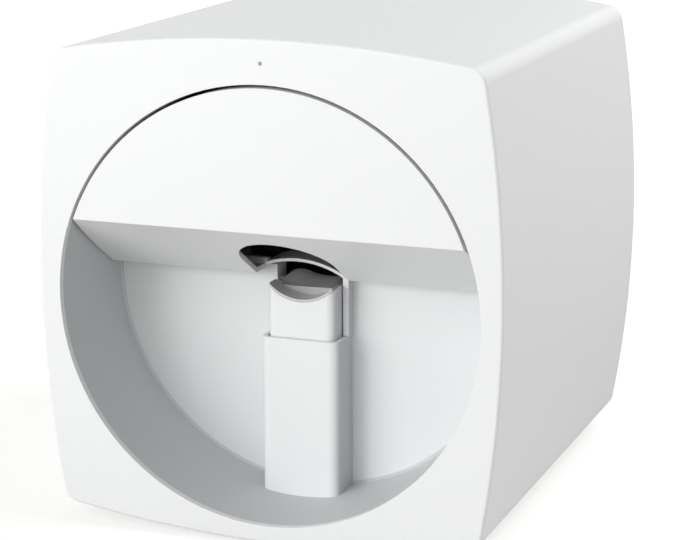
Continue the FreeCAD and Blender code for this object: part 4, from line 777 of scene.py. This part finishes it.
contacts = begin("cube", size=1.0, scale=mm(*CONTACT_SIZE), location=mm(*CONTACT_MIDDLE))
pick(contacts, lambda middle, way: way.y < -0.9)
bpy.ops.mesh.inset(thickness=mm(FILM_EDGE))
bpy.ops.mesh.subdivide(number_cuts=CONTACT_CUTS)
bpy.ops.mesh.inset(thickness=mm(CONTACT_GAP), use_individual=True)
extrude(0, -CONTACT_RISE, 0)
contacts.data.materials.append(FILM)
contacts.data.materials.append(GOLD)
contacts.active_material_index = 1
bpy.ops.object.material_slot_assign()
complete(contacts, "cartridge_contacts", "carriage", None)

# %% Nozzle plate
NOZZLE_MIDDLE, NOZZLE_SIZE = (40.0, -38.0, 112.55), (13.0, 10.0, 0.2)
PLATE_EDGE, PLATE_CUTS = 1.5, 8
ROW_Y, ROW_WIDTH, ROW_HALF = 2.3, 0.5, 4.5  # a row beside the middle, and half its length
NOZZLE_RIM, NOZZLE_DEPTH = 0.12, 0.12

nozzles = begin("cube", size=1.0, scale=mm(*NOZZLE_SIZE), location=mm(*NOZZLE_MIDDLE))
pick(nozzles, lambda middle, way: way.z < -0.9)
bpy.ops.mesh.inset(thickness=mm(PLATE_EDGE))
bpy.ops.mesh.subdivide(number_cuts=PLATE_CUTS)
pick(nozzles, lambda middle, way: way.z < -0.9
     and abs(abs(middle.y - NOZZLE_MIDDLE[1]) - ROW_Y) < ROW_WIDTH
     and abs(middle.x - NOZZLE_MIDDLE[0]) < ROW_HALF)
bpy.ops.mesh.inset(thickness=mm(NOZZLE_RIM), use_individual=True)
extrude(0, 0, NOZZLE_DEPTH)
complete(nozzles, "nozzle_plate", "carriage", ZINC_STEEL)

# %% [markdown]
# ## Main board
#
# The bare green plate gets the parts that a motor driver board has, on the side that faces the
# rear panel, where its two sockets are too: two chips with their rows of legs, three can
# capacitors and two white plug headers. A chip's legs are one small bent strip, repeated by an
# Array modifier and mirrored.

# %% Chips with legs
BOARD_FACE = 85.6
CHIP_GAP, CHIP_RIM, CHIP_STEP, CHIP_ROUND = 0.4, 0.6, 0.1, 0.15
LEG_OUT, LEG_THICK, LEG_Y, LEG_SHARE = 0.5, 0.9, 0.8, 0.45  # its width is a share of the pitch
KNEE, TOE = (0.35, -0.15, 0), (0.2, -0.2, 0)
CHIP_BLACK = moulded("black_epoxy_chip", "#1D1D1F", "#18181A", 0.55, 0.3, 0.01)


def chip(name, middle, half, height, legs):
    """Square chip standing on the board's rear face, with legs on its left and right."""
    body = begin("cube", size=1.0, scale=mm(2 * half, height, 2 * half),
                 location=mm(middle[0], BOARD_FACE + CHIP_GAP + height / 2, middle[1]))
    pick(body, lambda centre, way: way.y > 0.9)
    bpy.ops.mesh.inset(thickness=mm(CHIP_RIM))
    extrude(0, CHIP_STEP, 0)
    apply_modifier(body, "BEVEL", width=mm(CHIP_ROUND), segments=2)
    body.data.materials.append(CHIP_BLACK)
    pitch = 2 * half / (legs + 0.5)
    leg = begin("cube", size=1.0, scale=mm(LEG_OUT, LEG_THICK, pitch * LEG_SHARE),
                location=mm(middle[0] + half + LEG_OUT / 2, BOARD_FACE + LEG_Y,
                            middle[1] - half + pitch * 0.75))
    pick(leg, lambda centre, way: way.x > 0.9)
    extrude(*KNEE)
    pick(leg, lambda centre, way: way.y < -0.6 and centre.x > middle[0] + half + 0.4)
    extrude(*TOE)
    apply_modifier(leg, "ARRAY", count=legs, use_relative_offset=False,
                   use_constant_offset=True, constant_offset_displace=mm(0, 0, pitch))
    leg.data.materials.append(ZINC_STEEL)
    other = bpy.data.objects.new("legs", leg.data.copy())
    bpy.context.scene.collection.objects.link(other)
    other.data.transform(Matrix.Translation(mm(middle[0], 0, 0))
                         @ Matrix.Scale(-1, 4, (1, 0, 0))
                         @ Matrix.Translation(mm(-middle[0], 0, 0)))
    join(body, leg, other)
    complete(body, name, "housing", None)


chip("controller_chip", (-34.0, 68.0), 7.0, 1.4, 16)
chip("driver_chip", (0.0, 66.0), 4.0, 1.2, 9)

# %% Capacitors
CAN_X, CAN_Z, CAN_PITCH, CAN_RADIUS, CAN_LENGTH = -68.0, 80.0, 11.0, 4.0, 9.0
CAN_RIM, CAN_DENT, CAN_ROUND = 0.7, 0.35, 0.3
CAN_ALUMINIUM = turned("capacitor_can_aluminium", "#C9CCCF", "#BFC2C5", 0.28, "Y", 1.0, 0.0008)

can = begin("cylinder", vertices=48, radius=mm(CAN_RADIUS), depth=mm(CAN_LENGTH),
            rotation=(math.pi / 2, 0, 0), location=mm(CAN_X, BOARD_FACE + CAN_LENGTH / 2, CAN_Z))
pick(can, lambda middle, way: way.y > 0.9)
bpy.ops.mesh.inset(thickness=mm(CAN_RIM))
extrude(0, -CAN_DENT, 0)
pick(can, lambda middle, way: middle.y > BOARD_FACE + CAN_LENGTH - 0.1
     and math.hypot(middle.x - CAN_X, middle.z - CAN_Z) > CAN_RADIUS - 0.3, "EDGE")
bpy.ops.mesh.bevel(offset=mm(CAN_ROUND), segments=3)
complete(can, "capacitor_1", "housing", CAN_ALUMINIUM)
copies(can, "capacitor", "housing",
       [(0, 0, -CAN_PITCH), (0, 0, -2 * CAN_PITCH)])

# %% Plug headers
HEADER_SIZE, HEADER_X, HEADER_Z, HEADER_PITCH = (12.0, 7.0, 6.0), -14.0, 36.0, 16.0
HEADER_WALL, HEADER_DEPTH, HEADER_ROUND = 0.9, 5.0, 0.2
NYLON = moulded("natural_nylon", "#E9E6DC", "#E3E0D5", 0.4, 0.5, 0.004)

header = begin("cube", size=1.0, scale=mm(*HEADER_SIZE),
               location=mm(HEADER_X, BOARD_FACE + HEADER_SIZE[1] / 2, HEADER_Z))
pick(header, lambda middle, way: way.y > 0.9)
bpy.ops.mesh.inset(thickness=mm(HEADER_WALL))
extrude(0, -HEADER_DEPTH, 0)
apply_modifier(header, "BEVEL", width=mm(HEADER_ROUND), segments=2, limit_method="ANGLE")
complete(header, "plug_header_1", "housing", NYLON)
copies(header, "plug_header", "housing", [(HEADER_PITCH, 0, 0)])

# %% [markdown]
# ## Lamps over the nail, and motor plug
#
# The light bar under the top has five small light emitting diodes: white frames with a hollow
# that is filled with yellow phosphor. The motor behind the lead screw has a white socket for its
# plug under its can. Each is a block whose lower face is inset and pushed in.

# %% Diodes
DIODE_SIZE, DIODE_MIDDLE, DIODE_PITCH = (3.4, 3.0, 0.8), (-16.0, -47.0, 183.65), 8.0
DIODE_FRAME, DIODE_HOLLOW, DIODE_ROUND, DIODES, GRAIN = 0.4, 0.25, 0.1, 5, 0.6
PHOSPHOR, tree, place = new_material("yellow_phosphor_gel")
grain = add_node(tree, "ShaderNodeTexNoise", {"Vector": place, "Scale": 1 / mm(GRAIN)})
finish_material(tree, {"Base Color": between(tree, grain.outputs["Fac"], "#D9C545", "#E3D25C"),
                       "Roughness": 0.25, "IOR": 1.45})

diode = begin("cube", size=1.0, scale=mm(*DIODE_SIZE), location=mm(*DIODE_MIDDLE))
pick(diode, lambda middle, way: way.z < -0.9)
bpy.ops.mesh.inset(thickness=mm(DIODE_FRAME))
extrude(0, 0, DIODE_HOLLOW)
diode.data.materials.append(NYLON)
diode.data.materials.append(PHOSPHOR)
diode.active_material_index = 1
bpy.ops.object.material_slot_assign()
apply_modifier(diode, "BEVEL", width=mm(DIODE_ROUND), segments=2, limit_method="ANGLE")
complete(diode, "light_diode_1", "housing", None)
copies(diode, "light_diode", "housing",
       [(DIODE_PITCH * number, 0, 0) for number in range(1, DIODES)])

# %% Motor plug
PLUG_SIZE, PLUG_MIDDLE = (9.0, 6.0, 5.0), (0.0, 84.0, 94.8)
PLUG_WALL, PLUG_DEPTH, PLUG_ROUND = 0.8, 3.6, 0.25

motor_plug = begin("cube", size=1.0, scale=mm(*PLUG_SIZE), location=mm(*PLUG_MIDDLE))
pick(motor_plug, lambda middle, way: way.z < -0.9)
bpy.ops.mesh.inset(thickness=mm(PLUG_WALL))
extrude(0, 0, PLUG_DEPTH)
apply_modifier(motor_plug, "BEVEL", width=mm(PLUG_ROUND), segments=2, limit_method="ANGLE")
complete(motor_plug, "y_motor_plug", "housing", NYLON)

# %% [markdown]
# ## Springs
#
# The finger post rests on a coil spring and sinks 12 mm, and the button's spring gives 1.5 mm.
# A stiff coil would be cut by the part that presses it. Each spring here is a merged copy of the
# solid one, which rides on the housing in its place, and the solid one is hidden.

# %% Post spring and button spring
for node, name, joint, axis, travel in (
        ("post_spring", "lift_spring", "post_press", (0, 0, 1), 12.0),
        ("button_spring", "return_spring", "power_press", (0, 1, 0), 1.5)):
    spring = bpy.data.objects.new(name, NODES[node].data.copy())
    bpy.context.scene.collection.objects.link(spring)
    spring.data.materials.clear()
    complete(spring, name, "housing", SPRING_WIRE)
    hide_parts(node)
    low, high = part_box(node)
    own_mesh(spring)
